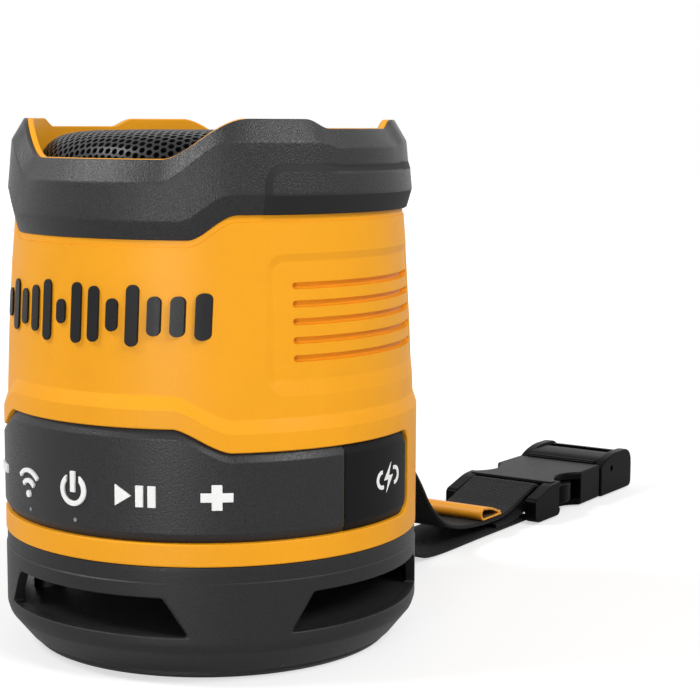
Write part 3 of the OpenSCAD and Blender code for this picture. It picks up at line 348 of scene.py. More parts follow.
def finish(name, colour, **sockets):
    """A new material with a Principled shader: returns the material, its node tree and the shader."""
    material = bpy.data.materials.new(name)
    material.use_nodes = True
    material.diffuse_color = colour
    tree = material.node_tree
    shader = tree.nodes["Principled BSDF"]
    shader.inputs["Base Color"].default_value = colour
    for key, value in sockets.items():
        shader.inputs[key.replace("_", " ").title().replace("Ior", "IOR")].default_value = value
    return material, tree, shader


def shade(colour, share):
    """A colour made lighter or darker by a share."""
    return [min(1.0, c * share) for c in colour[:3]] + [1.0]


def grained(name, colour, grain, depth, tone, roughness, gloss, smooth_and_shade="", **sockets):
    """Moulded surface with a grain of a width and depth, with which its colour and roughness vary.

    Tone is the share by which the colour varies, and gloss the amount by which the roughness does.
    The attribute argument names an attribute of the piece, which is 1 where the surface has no grain and
    where painted shade darkens its colour.
    """
    material, tree, shader = finish(name, colour, roughness=roughness, **sockets)
    place = add(tree, "ShaderNodeTexCoord").outputs["Object"]
    noise = {"Vector": place, "Roughness": 0.6}
    fine = add(tree, "ShaderNodeTexNoise", {**noise, "Scale": 1 / (grain * MM), "Detail": 2.0})
    broad = add(tree, "ShaderNodeTexNoise", {**noise, "Scale": 1 / (DRIFT_WIDTH * MM), "Detail": 3.0})
    if smooth_and_shade:
        smooth_shaded = add(tree, "ShaderNodeAttribute", attribute_name=smooth_and_shade).outputs["Fac"]
        left = add(tree, "ShaderNodeMath", {0: 1.0, 1: smooth_shaded}, operation="SUBTRACT")
        swing = add(tree, "ShaderNodeMath", {0: fine, 1: FLAT_GRAIN}, operation="SUBTRACT")
        fine = add(tree, "ShaderNodeMath", {0: swing, 1: left, 2: FLAT_GRAIN}, operation="MULTIPLY_ADD")
    speck = add(tree, "ShaderNodeMapRange", {**NOISE_SPAN, "Value": fine})
    tones = {0: speck, 6: shade(colour, 1 - tone), 7: shade(colour, 1 + tone)}
    speckled = add(tree, "ShaderNodeMix", tones, data_type="RGBA")
    drift = add(tree, "ShaderNodeMapRange", {**NOISE_SPAN, **DRIFT, "Value": broad})
    tones = {0: 1.0, 6: speckled, 7: drift}
    tinted = add(tree, "ShaderNodeMix", tones, data_type="RGBA", blend_type="MULTIPLY")
    ends = {"To Min": roughness - gloss, "To Max": roughness + gloss}
    rough = add(tree, "ShaderNodeMapRange", {**NOISE_SPAN, **ends, "Value": fine})
    # Painted shade: where the attribute is 1 the colour drops to a small share of itself, and the roughness
    # rises
    if smooth_and_shade:
        tones = {0: smooth_shaded, 6: tinted, 7: shade(colour, SMOOTH_SHADE[0])}
        tinted = add(tree, "ShaderNodeMix", tones, data_type="RGBA")
        rough = add(tree, "ShaderNodeMath", {0: smooth_shaded, 1: SMOOTH_SHADE[1], 2: rough}, operation="MULTIPLY_ADD")
    feed(tree, tinted, shader.inputs["Base Color"])
    feed(tree, rough, shader.inputs["Roughness"])
    bump = add(tree, "ShaderNodeBump", {"Height": fine, "Distance": depth * MM, "Strength": 1.0})
    feed(tree, bump, shader.inputs["Normal"])
    return material


def woven(name, colour, rib, stitch, depth, **sockets):
    """Woven narrow fabric: ribs along its length, crossed by alternating stitches, with painted shade between
    the threads and painted highlight on them. Reads UV in metres.
    """
    material, tree, shader = finish(name, colour, **sockets)
    place = add(tree, "ShaderNodeTexCoord").outputs["UV"]
    uv = add(tree, "ShaderNodeSeparateXYZ", {"Vector": place}).outputs
    ribs = add(tree, "ShaderNodeMath", {0: uv["X"], 1: 1 / (rib * MM)}, operation="MULTIPLY")
    count = add(tree, "ShaderNodeMath", {0: ribs}, operation="FLOOR")
    shift = add(tree, "ShaderNodeMath", {0: count, 1: 0.5}, operation="MULTIPLY")
    rows = {0: uv["Y"], 1: 1 / (stitch * MM), 2: shift}
    rows = add(tree, "ShaderNodeMath", rows, operation="MULTIPLY_ADD")
    height = 1.0
    for turns in (ribs, rows):
        angle = add(tree, "ShaderNodeMath", {0: turns, 1: math.pi}, operation="MULTIPLY")
        sine = add(tree, "ShaderNodeMath", {0: angle}, operation="SINE")
        crown = add(tree, "ShaderNodeMath", {0: sine}, operation="ABSOLUTE")
        height = add(tree, "ShaderNodeMath", {0: crown, 1: height}, operation="MULTIPLY")
    # Painted shade in the hollows and painted highlight on the crowns, following the weave's height
    tones = {0: height, 6: shade(colour, WEAVE_SHADE_AND_HIGHLIGHT[0]), 7: shade(colour, WEAVE_SHADE_AND_HIGHLIGHT[1])}
    feed(tree, add(tree, "ShaderNodeMix", tones, data_type="RGBA"), shader.inputs["Base Color"])
    bump = add(tree, "ShaderNodeBump", {"Height": height, "Distance": depth * MM})
    feed(tree, bump, shader.inputs["Normal"])
    return material


def metal(name, colour, roughness, grain):
    """Bare or plated metal with fine scratches that vary its gloss."""
    material, tree, shader = finish(name, colour, metallic=1.0, roughness=roughness)
    place = add(tree, "ShaderNodeTexCoord").outputs["Object"]
    noise = {"Vector": place, "Scale": 1 / (grain * MM), "Detail": 4.0, "Roughness": 0.6}
    scratch = add(tree, "ShaderNodeTexNoise", noise)
    ends = {"To Min": roughness - SCRATCH[0], "To Max": roughness + SCRATCH[1]}
    rough = add(tree, "ShaderNodeMapRange", {**NOISE_SPAN, **ends, "Value": scratch})
    feed(tree, rough, shader.inputs["Roughness"])
    return material


def make_materials():
    """One material for each of the record's slots."""
    tint = colours()
    return {
        # ABS, injection moulded with a fine matt texture: soft even sheen, no sparkle
        "housing_yellow": grained("Moulded ABS yellow", tint.body, 0.5, 0.012, 0.02, 0.45, 0.04, ior=1.53,
                                  specular_ior_level=0.22),
        # Thermoplastic rubber from a spark-eroded mould: coarse grain that glitters on the lit slopes. The
        # pads' sloping edges and the belt under the belly have no grain and painted shade, a far darker
        # colour
        "bumper_black": grained("Moulded TPE bumper", tint.bumper, 0.42, 0.15, 0.5, 0.36, 0.1, "smooth_and_shade",
                                ior=1.5, specular_ior_level=0.36),
        # Silicone rubber keypad with a mottled leather-like grain
        "rubber_black": grained("Moulded silicone panel", tint.panel, 0.5, 0.08, 0.4, 0.42, 0.12, ior=1.45,
                                specular_ior_level=0.42),
        # ABS, black, slightly smoother than the bumper
        "housing_black": grained("Moulded ABS black", tint.base, 0.5, 0.06, 0.2, 0.45, 0.08, ior=1.53,
                                 specular_ior_level=0.24),
        # ABS, moulded smooth and set into the body
        "emblem_black": grained("Moulded ABS emblem", linear("1c1c1e"), 0.5, 0.02, 0.08, 0.38, 0.05,
                                ior=1.53, specular_ior_level=0.16),
        # The same silicone, smoother on the door, and darkened to 0.7 of the panel's colour as painted shade,
        # since the door faces away from the lamps
        "door_black": grained("Moulded silicone door in painted shade", shade(tint.panel, 0.7), 0.5, 0.02, 0.08, 0.42, 0.05,
                              ior=1.45, specular_ior_level=0.08),
        # Silicone, white all through: even and matt
        "symbol_white": grained("Moulded silicone white", tint.symbols, 0.6, 0.01, 0.01, 0.5, 0.05, ior=1.45),
        # Perforated steel sheet, powder coated: fine orange peel with a satin sheen
        "grille_black": grained("Powder coated steel", linear("161618"), 0.5, 0.02, 0.1, 0.38, 0.06, ior=1.5,
                                specular_ior_level=0.3),
        # Steel with a bright zinc coat: even grey mirror with fine scratches
        "steel": metal("Zinc plated steel", linear("b9bbbd"), 0.32, 0.8),
        # Ferrite, pressed and fired: dull and slightly gritty
        "magnet": grained("Sintered ferrite", linear("2a2a2b"), 0.3, 0.02, 0.15, 0.6, 0.1),
        # Copper wire under clear enamel: warm gloss that breaks from turn to turn
        "copper": metal("Enamelled copper wire", linear("c07a45"), 0.3, 0.3),
        # Paper pulp, pressed: soft and fibrous
        "cone_black": grained("Pressed paper cone", linear("1b1b1c"), 0.7, 0.05, 0.2, 0.75, 0.08),
        # Cotton cloth stiffened with resin: matt and yellowish
        "spider_cloth": grained("Impregnated cloth", linear("c9a35a"), 0.4, 0.05, 0.15, 0.8, 0.08),
        # Glass epoxy board under solder mask: smooth green gloss
        "board_green": grained("Solder mask", linear("1f5a3a"), 2.0, 0.01, 0.1, 0.3, 0.05),
        # Epoxy, moulded round the chips: fine dull grain
        "chip_black": grained("Moulded epoxy", linear("1c1c1d"), 0.3, 0.01, 0.1, 0.55, 0.06),
        # PVC sleeve shrunk on the cells: tight gloss
        "cell_wrap": grained("Heat shrink sleeve", linear("3f6f9f"), 1.5, 0.01, 0.05, 0.3, 0.05),
        # Polypropylene webbing, flat woven: fine ribs 1 mm apart, drawn slightly coarse so that they show
        "webbing_black": woven("Woven polypropylene webbing", tint.webbing, 0.95, 1.5, 0.28,
                               roughness=0.62, sheen_weight=0.04, specular_ior_level=0.12),
        # Nylon strip with a soft coating: satin, with a fine weave under it
        "tab_yellow": grained("Coated nylon strip", linear("f4a21a"), 0.45, 0.05, 0.05, 0.5, 0.08),
        # Bare back of the same strip, in the shade of its fold
        # Painted shade inside the tab's fold: the strip's yellow darkened to olive brown
        "tab_brown": grained("Painted shade inside tab fold", linear("54431c"), 0.45, 0.05, 0.2, 0.7, 0.08),
        # Dark sheet behind the grille, painted shade: black so that the holes read as dark as the shaded
        # inside
        "shade_sheet_black": grained("Painted shade behind grille", linear("060606"), 0.4, 0.03, 0.3, 0.9, 0.05,
                               specular_ior_level=0.05),
        # Frosted acrylic light pipe, unlit
        "lens_grey": grained("Frosted acrylic", linear("8a8a8c"), 0.4, 0.01, 0.04, 0.4, 0.05),
        # Acetal, moulded smooth: dark with a waxy gloss
        "buckle_black": grained("Moulded acetal", linear("060607"), 0.5, 0.012, 0.08, 0.34, 0.05, ior=1.48,
                                specular_ior_level=0.045),
    }


# Finishes by slot, which main makes
MATERIALS = {}


# Modelling helpers


def deselect():
    """Back to object mode with nothing selected."""
    if bpy.context.object and bpy.context.object.mode != "OBJECT":
        bpy.ops.object.mode_set(mode="OBJECT")
    bpy.ops.object.select_all(action="DESELECT")


def take(piece):
    """Selects one piece alone and makes it active."""
    deselect()
    piece.select_set(True)
    bpy.context.view_layer.objects.active = piece


@contextlib.contextmanager
def editing(piece):
    """Edit mode on one piece, with all of it selected."""
    take(piece)
    bpy.ops.object.mode_set(mode="EDIT")
    bpy.ops.mesh.select_all(action="SELECT")
    yield
    bpy.ops.object.mode_set(mode="OBJECT")


def named(name):
    """The piece that was just added, with its name."""
    piece = bpy.context.object
    piece.name = piece.data.name = name
    return piece


def weld(piece, outside=True):
    """Closes a piece's seams and turns its faces outwards."""
    with editing(piece):
        bpy.ops.mesh.remove_doubles(threshold=2e-6)
        if outside:
            bpy.ops.mesh.normals_make_consistent(inside=False)


def corners(piece):
    """Places of a mesh's points in metres, one row for each."""
    points = np.empty(len(piece.data.vertices) * 3)
    piece.data.vertices.foreach_get("co", points)
    return points.reshape(-1, 3)


def move(piece, points):
    """Moves a mesh's points to new places in metres."""
    piece.data.vertices.foreach_set("co", np.ravel(points))
    piece.data.update()


def face_middles(piece):
    """The middles of a mesh's faces in millimetres: all their x, then y, then z."""
    middles = np.empty(len(piece.data.polygons) * 3)
    piece.data.polygons.foreach_get("center", middles)
    return middles.reshape(-1, 3).T / MM


def select_open_edges():
    """Selects the edges that have one face alone, in edit mode."""
    bpy.ops.mesh.select_all(action="DESELECT")
    others = ("use_wire", "use_multi_face", "use_non_contiguous", "use_verts")
    bpy.ops.mesh.select_non_manifold(**dict.fromkeys(others, False))


def delete_faces(piece, chosen):
    """Deletes the chosen faces, given as one truth for each."""
    take(piece)
    bpy.ops.object.mode_set(mode="EDIT")
    bpy.ops.mesh.select_mode(type="FACE")
    bpy.ops.mesh.select_all(action="DESELECT")
    bpy.ops.object.mode_set(mode="OBJECT")
    piece.data.polygons.foreach_set("select", np.asarray(chosen, dtype=bool))
    bpy.ops.object.mode_set(mode="EDIT")
    bpy.ops.mesh.delete(type="FACE")
    bpy.ops.object.mode_set(mode="OBJECT")


def apply(piece, kind, **settings):
    """Adds a modifier to a piece and applies it."""
    take(piece)
    modifier = piece.modifiers.new(kind.title(), kind)
    for key, value in settings.items():
        setattr(modifier, key, value)
    bpy.ops.object.modifier_apply(modifier=modifier.name)
    return piece


def bevel(piece, width, segments=2, angle=30):
    """Rounds a piece's edges that turn by more than an angle."""
    return apply(
        piece, "BEVEL", width=width * MM, segments=segments, limit_method="ANGLE",
        angle_limit=math.radians(angle), use_clamp_overlap=True, harden_normals=False,
    )


def smooth_edges(piece, angle, flats=True):
    """Shades a piece smooth with its hard edges kept. Flats stay flat, so that rounded edges read crisp."""
    take(piece)
    bpy.ops.object.shade_smooth_by_angle(angle=math.radians(angle))
    if flats:
        apply(piece, "WEIGHTED_NORMAL", keep_sharp=True, weight=60)


def settle(piece):
    """Puts a piece's place, turn and scale into its mesh, so that its object sits at the origin."""
    take(piece)
    bpy.ops.object.transform_apply(location=True, rotation=True, scale=True)
    return piece


def join(piece, *others):
    """Makes several pieces one."""
    take(piece)
    for other in others:
        other.select_set(True)
    bpy.ops.object.join()
    return piece


def cut(piece, *tools, operation="DIFFERENCE"):
    """Cuts tools out of a piece, or adds them to it, and takes the tools away."""
    for tool in tools:
        apply(piece, "BOOLEAN", object=tool, operation=operation, solver="MANIFOLD")
        take(tool)
        bpy.ops.object.delete()
    take(piece)
    return piece


def dress(piece, body, slot, *nodes):
    """Gives a piece its body and its finish, and hides the CAD nodes that it stands for."""
    piece.data.materials.clear()
    piece.data.materials.append(MATERIALS[slot])
    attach(piece, body)
    if nodes:
        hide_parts(*nodes)
    return piece


def filled(stops, step):
    """The stops in order, with lines added between them no further apart than a step."""
    lines = []
    ordered = sorted(set(round(s, 4) for s in stops))
    for a, b in zip(ordered, ordered[1:]):
        count = max(1, math.ceil((b - a) / step - 1e-6))
        lines += [a + (b - a) * i / count for i in range(count)]
    return np.array(lines + ordered[-1:])


def rolled(name, across, up, place):
    """A flat grid with a line at every value of across and up, whose points are then moved into form."""
    deselect()
    bpy.ops.mesh.primitive_grid_add(x_subdivisions=len(across) - 1, y_subdivisions=len(up) - 1, size=1)
    piece = named(name)
    flat = corners(piece)
    i = np.rint((flat[:, 0] + 0.5) * (len(across) - 1)).astype(int)
    j = np.rint((flat[:, 1] + 0.5) * (len(up) - 1)).astype(int)
    points = np.stack(place(np.asarray(across)[i], np.asarray(up)[j]), axis=1)
    move(piece, points * MM)
    return piece


def lathe(name, columns, profile):
    """A ring whose profile, a path of radius and height, may change round the body."""
    count = len(profile(columns))

    def place(s, row):
        path = profile(s)
        radius = np.stack([np.broadcast_to(p[0], s.shape) for p in path])
        height = np.stack([np.broadcast_to(p[1], s.shape) for p in path])
        rows = row.astype(int)
        columns_of = np.arange(len(s))
        return on_body(s, radius[rows, columns_of], height[rows, columns_of])

    return rolled(name, columns, np.arange(count), place)


def block(name, low, high):
    """A box between two corners."""
    deselect()
    middle = [(a + b) / 2 * MM for a, b in zip(low, high)]
    bpy.ops.mesh.primitive_cube_add(size=1, location=middle)
    piece = named(name)
    piece.scale = [(b - a) * MM for a, b in zip(low, high)]
    return settle(piece)


def rod(name, radius, start, end, sides=48):
    """A round bar between two points."""
    deselect()
    a, b = Vector(start) * MM, Vector(end) * MM
    bpy.ops.mesh.primitive_cylinder_add(
        vertices=sides, radius=radius * MM, depth=(b - a).length, location=(a + b) / 2,
        rotation=(b - a).to_track_quat("Z", "Y").to_euler(),
    )
    piece = named(name)
    return settle(piece)


def flat_piece(name, outline, axis, start, end):
    """A plate from an outline: axis is the way it is drawn out, and start and end its faces along it."""
    deselect()
    bpy.ops.mesh.primitive_circle_add(vertices=len(outline), radius=1, fill_type="NGON")
    piece = named(name)
    order = {"x": (2, 0, 1), "z": (0, 1, 2)}[axis]
    points = np.array([(u, v, start) for u, v in outline])[:, np.array(order)]
    move(piece, points * MM)
    way = [0.0, 0.0, 0.0]
    way["xyz".index(axis)] = (end - start) * MM
    with editing(piece):
        bpy.ops.mesh.extrude_region_move(TRANSFORM_OT_translate={"value": way})
        bpy.ops.mesh.select_all(action="SELECT")
        bpy.ops.mesh.normals_make_consistent(inside=False)
    return piece


def arc(centre, radius, start, end, steps=16):
    """Points on an arc between two angles in degrees."""
    angles = np.radians(np.linspace(start, end, steps + 1))
    return [(centre[0] + radius * math.cos(a), centre[1] + radius * math.sin(a)) for a in angles]


def corner_cut(points, cuts, steps=4):
    """A path with its inner corners turned into short curves: each cut is the length taken off both sides."""
    path = [points[0]]
    for before, at, after, taken in zip(points, points[1:], points[2:], cuts):
        ends = []
        for other in (before, after):
            way = [o - a for o, a in zip(other, at)]
            length = np.hypot(*way)
            ends.append([a + w * np.minimum(taken / length, 0.49) for a, w in zip(at, way)])
        for i in range(steps + 1):
            u = i / steps
            triples = zip(ends[0], at, ends[1])
            path.append([(1 - u) ** 2 * a + 2 * u * (1 - u) * b + u * u * c for a, b, c in triples])
    return path + [points[-1]]


def ease(t):
    """Smooth rise from 0 to 1."""
    t = np.clip(t, 0, 1)
    return t * t * (3 - 2 * t)


def wave(line, x):
    """Height of one of the bumper's lines at a distance across from the middle."""
    front, side, start, end = line
    return front + (side - front) * ease((np.abs(x) - start) / (end - start))


def side_dip(y, depth):
    """Dip in the middle of the sides, at a distance from front to back."""
    return depth * (1 - ease((np.abs(y) - SIDE_RISE[0]) / (SIDE_RISE[1] - SIDE_RISE[0])))


def round_corner(s, z, corner, towards, radius, fade=0.6):
    """Moves the points of a square grid near a feature's square corner onto rounded lines."""
    centre = (corner[0] - towards[0] * radius, corner[1] - towards[1] * radius)
    a = (s - centre[0]) * towards[0] / radius
    b = (z - centre[1]) * towards[1] / radius
    most = np.maximum(a, b)
    share = np.clip((1 + fade - most) / fade, 0, 1) * ((a > 0) & (b > 0))
    pull = 1 + (most / np.maximum(np.hypot(a, b), 1e-9) - 1) * share
    s = np.where(share > 0, centre[0] + towards[0] * radius * a * pull, s)
    z = np.where(share > 0, centre[1] + towards[1] * radius * b * pull, z)
    return s, z


def round_corners(s, z, box, radius, fade=0.6):
    """Rounds the four corners of a feature: box is its left, low, right and high edge."""
    for s_at, s_way in ((box[0], -1), (box[2], 1)):
        for z_at, z_way in ((box[1], -1), (box[3], 1)):
            s, z = round_corner(s, z, (s_at, z_at), (s_way, z_way), radius, fade)
    return s, z


def on_body(s, radius, z):
    """Point at a distance s round the body from its front."""
    a = s / BODY_R
    return radius * np.sin(a), -radius * np.cos(a), z


def panel_top(s):
    """Height of the control panel's top edge, which is raised across the front."""
    a = s / BODY_R
    x = np.where(np.cos(a) > 0, np.abs(BODY_R * np.sin(a)), BODY_R)
    t = np.clip((PANEL_SHOULDER[1] - x) / (PANEL_SHOULDER[1] - PANEL_SHOULDER[0]), 0, 1)
    return PANEL_SIDE_TOP + PANEL_RISE * (0.55 * t + 0.45 * ease(t))


def around(x, y):
    """Distance round the body from its front, of a place seen from above."""
    return np.arctan2(x, -y) * BODY_R


def hem(s):
    """Height of the bumper's lower edge."""
    return wave(HEM_LINE, NECK_R * np.sin(s / BODY_R))


def belly(s):
    """Height of the bumper's widest line."""
    return wave(BELLY_LINE, BELLY_R * np.sin(s / BODY_R))


def rim(s):
    """Height of the rim."""
    a = s / BODY_R
    return wave(RIM_LINE, RIM_R * np.sin(a)) - side_dip(RIM_R * np.cos(a), SIDE_NOTCH)


def skin(z):
    """Radius of the body's taper at a height."""
    return np.interp(z, SKIN_Z, SKIN_R)


def around_back(s):
    """Distance round the body from its back, from any place on it."""
    return np.abs(np.abs(s) - HALF_TURN)


def rounded_depth(distances, corner):
    """Distance inside an outline with round corners: distances are from its sides and from its ends."""
    side, end = distances
    both = (side < corner) & (end < corner)
    curve = corner - np.hypot(np.maximum(corner - side, 0), np.maximum(corner - end, 0))
    return np.where(both, curve, np.minimum(side, end))


def both_ways(values):
    """Each value with its opposite."""
    return [v for value in values for v in (-value, value)]


def edge_lines(at, *steps):
    """Grid lines close on both sides of an edge."""
    return [at] + [at + s for step in steps for s in (-step, step)]


# Body and bumper


def body_height(s, h):
    """Height of a body row: a row is named by its height at the sides, and rises across the front."""
    top = panel_top(s)
    step = hem(s) - HEM_STEP
    band = PANEL_Z + (h - PANEL_Z) * (top - PANEL_Z) / (PANEL_SIDE_TOP - PANEL_Z)
    taper = h + (top - PANEL_SIDE_TOP) * (SIDE_TOP - h) / (SIDE_TOP - FLARE_END)
    neck = SIDE_TOP + (h - SIDE_TOP) * (step - SIDE_TOP) / (HEM_ROW - SIDE_TOP)
    rows = [h < PANEL_Z, h < PANEL_SIDE_TOP, h < FLARE_END, h < SIDE_TOP, h < HEM_ROW]
    return np.select(rows, [h, band, top + h - PANEL_SIDE_TOP, taper, neck], step + h - HEM_ROW)


def from_side(s):
    """Distance round the body from the middle of the nearer side, with its sign."""
    return np.abs(s) - QUARTER_TURN


def side_panel_depth(s, h):
    """Depth of the side panels and of the slots in them, on the square grid."""
    off = np.abs(from_side(s))
    left, low, high = SIDE_PANEL[0] - off, h - SIDE_PANEL[1], SIDE_PANEL[2] - h
    share = np.minimum.reduce([left / SIDE_SLOPE[0], low / SIDE_SLOPE[1], high / SIDE_SLOPE[2]])
    depth = sizes().side_depth / MM * np.clip(share, 0, 1)
    for centre in SLOT_ROWS[: sizes().slot_count]:
        inside = np.minimum(SLOT_HALF + SLOT_R - off, SLOT_R - np.abs(h - centre))
        depth += sizes().slot_depth / MM * np.clip(inside / SLOT_WALL, 0, 1)
    return depth


def round_side(s, h):
    """Moves the grid on the sides so that the side panels and slots have round corners."""
    way = np.where(s < 0, -1, 1)
    off = from_side(s)
    for centre in SLOT_ROWS[: sizes().slot_count]:
        end = SLOT_HALF + SLOT_R
        off, h = round_corners(off, h, (-end, centre - SLOT_R, end, centre + SLOT_R), SLOT_R, 0.5)
    reach, low, high = SIDE_PANEL
    off, h = round_corners(off, h, (-reach, low, reach, high), SIDE_CORNER)
    return way * (off + QUARTER_TURN), h


def body_point(s, h):
    """Place of a body grid point."""
    end = PANEL_END * DEGREE
    distance = np.minimum.reduce([s + end, end - s, h - PANEL_Z, PANEL_SIDE_TOP - h])
    bed = np.clip(distance / STEP, 0, 1)
    side = side_panel_depth(s, h) * (h > FLARE_END) * (h < SIDE_TOP)
    s, h = round_corners(s, h, (-end, PANEL_Z, end, PANEL_SIDE_TOP), PANEL_CORNER)
    s, h = round_side(s, h)
    z = body_height(s, h)
    flare = np.clip((FLARE_END - h) / (FLARE_END - FLARE_BAND), 0, 1)
    radius = skin(z) + (BODY_R - skin(z)) * flare
    radius -= HEM_DEPTH * np.clip((h - HEM_ROW) / STEP, 0, 1)
    radius -= side
    width, depth = BED_EDGE
    lip = np.clip(1 + distance / width, 0, 1) * (distance <= 0)
    radius -= depth * lip * lip
    radius = np.where(bed > 0, BODY_R - depth - (BED_DEPTH - depth) * bed, radius)
    across = np.abs(BODY_R * np.sin(s / BODY_R))
    inside = np.minimum.reduce([POCKET[0] - across, h - POCKET[1], POCKET[2] - h])
    pocket = np.clip(inside / POCKET_EDGE, 0, 1) * (around_back(s) < QUARTER_TURN / 2)
    floor = POCKET[3] / np.maximum(np.cos(around_back(s) / BODY_R), 0.5)
    radius = radius + (np.minimum(floor, radius) - radius) * ease(pocket)
    # Rounded lower edge, then the flange that closes the body from below
    turn = np.clip((BASE_Z + BASE_EDGE - h) / BASE_EDGE, 0, 1)
    edge = BODY_R - BASE_EDGE + BASE_EDGE * np.sqrt(1 - turn**2)
    radius = np.where(h < BASE_Z + BASE_EDGE, edge, radius)
    rows = (BASE_Z - 2, BASE_Z - 1, BASE_Z)
    under = h < BASE_Z
    radius = np.where(under, np.interp(h, rows, (*FLANGE_R, BODY_R - BASE_EDGE)), radius)
    z = np.where(under, np.interp(h, rows, (FLANGE_Z, FLANGE_Z, BASE_Z)), z)
    return on_body(s, radius, z)


def model_body():
    """The yellow moulding from the trim ring to under the bumper."""
    end = PANEL_END * DEGREE
    columns = both_ways(edge_lines(end, 0.12, 0.24, 0.36) + [end - 1, end - 2, end - 3, end - PANEL_CORNER])
    for place in (QUARTER_TURN, -QUARTER_TURN):
        for way in (-1, 1):
            ends = edge_lines(0, 0.15) + edge_lines(SIDE_SLOPE[0], 0.15) + [-2, -1, 1, 2.6, 3.4, 4.2, 5]
            columns += [place + way * (SIDE_PANEL[0] - d) for d in ends]
            rounds = (0, 0.2, 0.4, 0.57, 0.71, 0.85, 0.95, 1.1, 1.3)
            columns += [place + way * (SLOT_HALF + d) for d in rounds]
        columns += [place - SOCKET_HOLE[0], place + SOCKET_HOLE[0]]
    pocket = BODY_R * math.asin(POCKET[0] / BODY_R)
    for way in (-1, 1):
        columns += [HALF_TURN + way * (pocket - d) for d in (-0.2, 0, 0.12, 0.25, 0.37, 0.5, 0.7)]
    start, end = BODY_SEAM, BODY_SEAM + 2 * HALF_TURN
    columns = filled([c for c in columns if start < c < end] + [start, end], 1.25)
    rows = [BASE_Z + d for d in (-2, -1, -0.5, 0, 0.05, 0.12, 0.24, BASE_EDGE, 0.6)]
    for at in (PANEL_Z, PANEL_SIDE_TOP):
        rows += edge_lines(at, 0.12, 0.24, 0.36)
    for d in (1, 2, 3, PANEL_CORNER):
        rows += [PANEL_Z + d, PANEL_SIDE_TOP - d]
    rows += SOCKET_HOLE[1:]
    for at in (FLARE_BAND, FLARE_END, SIDE_TOP, HEM_ROW):
        rows += edge_lines(at, 0.12, 0.3, 0.6)
    for at in POCKET[1:3]:
        rows += edge_lines(at, 0.12, 0.25, 0.37, 0.5)
    rows += [SIDE_PANEL[1] + d for d in edge_lines(0, 0.15) + edge_lines(SIDE_SLOPE[1], 0.15) + [1, 2, 3, 5]]
    rows += [SIDE_PANEL[2] - d for d in edge_lines(0, 0.15) + edge_lines(SIDE_SLOPE[2], 0.15) + [1, 3, 4, 5]]
    for centre in SLOT_ROWS:
        rows += [centre] + [centre + d for d in both_ways((0.25, 0.5, 0.71, 0.85, 0.95, 1.1, 1.3))]
    rows = filled(rows + [HEM_ROW + 6], 1.3)
    piece = rolled("body_moulding", columns, rows, body_point)
    weld(piece)
    # Hole in the panel bed for the charge socket, with the thin rows beside it
    x, y, z = face_middles(piece)
    half, low, high = SOCKET_HOLE
    delete_faces(piece, (x > 0) & (np.abs(y) < half) & (z > low - 0.05) & (z < high + 0.05))
    smooth_edges(piece, 35)
    return dress(piece, "speaker", "housing_yellow", "main_housing")


def model_rim():
    """The thin yellow wall inside the bumper, whose top edge shows as a line."""
    def profile(s):
        lip = np.minimum(rim(s) + RIM_LIP, RIM_Z)
        points = [(RIM_INNER_R, RIM_FOOT[0]), (RIM_INNER_R, lip), (RIM_R, lip), (RIM_R, RIM_FOOT[1])]
        return corner_cut(points, (0.4, 0.4))

    piece = lathe("rim_wall", np.linspace(-HALF_TURN, HALF_TURN, 361), profile)
    weld(piece)
    smooth_edges(piece, 50)
    return dress(piece, "speaker", "housing_yellow")


def pad_rise(s, up):
    """How far the side pads stand out of the bumper's face, at a height above its belly."""
    end = PAD_HALF * DEGREE - np.abs(from_side(s))
    return PAD_PROUD * np.clip(np.minimum(end, PAD_TOP - up) / PAD_SLOPE, 0, 1)


def bumper_section(s):
    """Paths of the bumper's section: below its face, and above it round to its inside."""
    a = s / BODY_R
    dip = side_dip(CREASE_R * np.cos(a), SIDE_NOTCH * CREASE_NOTCH)
    crease = wave(CREASE_LINE, CREASE_R * np.sin(a)) - dip
    top = rim(s)
    inner, outer, reach = BUMPER_TOP
    low = hem(s)
    points = [(NECK_R - 1, low), (NECK_R, low), (BELLY_R, belly(s)), (CREASE_R, crease)]
    points += [(RIM_R + outer, top), (RIM_R + inner, top), (RIM_R + inner, top - reach)]
    path = corner_cut(points, BUMPER_ROUNDS)
    return path[: BELOW_ROWS + 1], path[BELOW_ROWS + 1 :]


def bumper_point(s, row):
    """Place of a bumper grid point: rows from 0 to 1 lie on the face, those outside it on its two paths."""
    up = np.clip(row, 0, 1) * FACE_H
    rise = pad_rise(s, up) * (row > -BELOW_ROWS) * (row <= 1)
    way, off = np.where(s < 0, -1, 1), from_side(s)
    reach = PAD_HALF * DEGREE
    for side in (-1, 1):
        off, up = round_corner(off, up, (side * reach, PAD_TOP), (side, 1), PAD_CORNER)
    s = np.where((row > 0) & (row < 1), way * (off + QUARTER_TURN), s)
    below, above = bumper_section(s)
    share = up / FACE_H
    radius = below[-1][0] + (above[0][0] - below[-1][0]) * share
    height = below[-1][1] + (above[0][1] - below[-1][1]) * share
    for start, path in ((-BELOW_ROWS, below), (1, above)):
        for i, (r, z) in enumerate(path, start):
            radius, height = np.where(row == i, r, radius), np.where(row == i, z, height)
    return on_body(s, radius + rise, height)


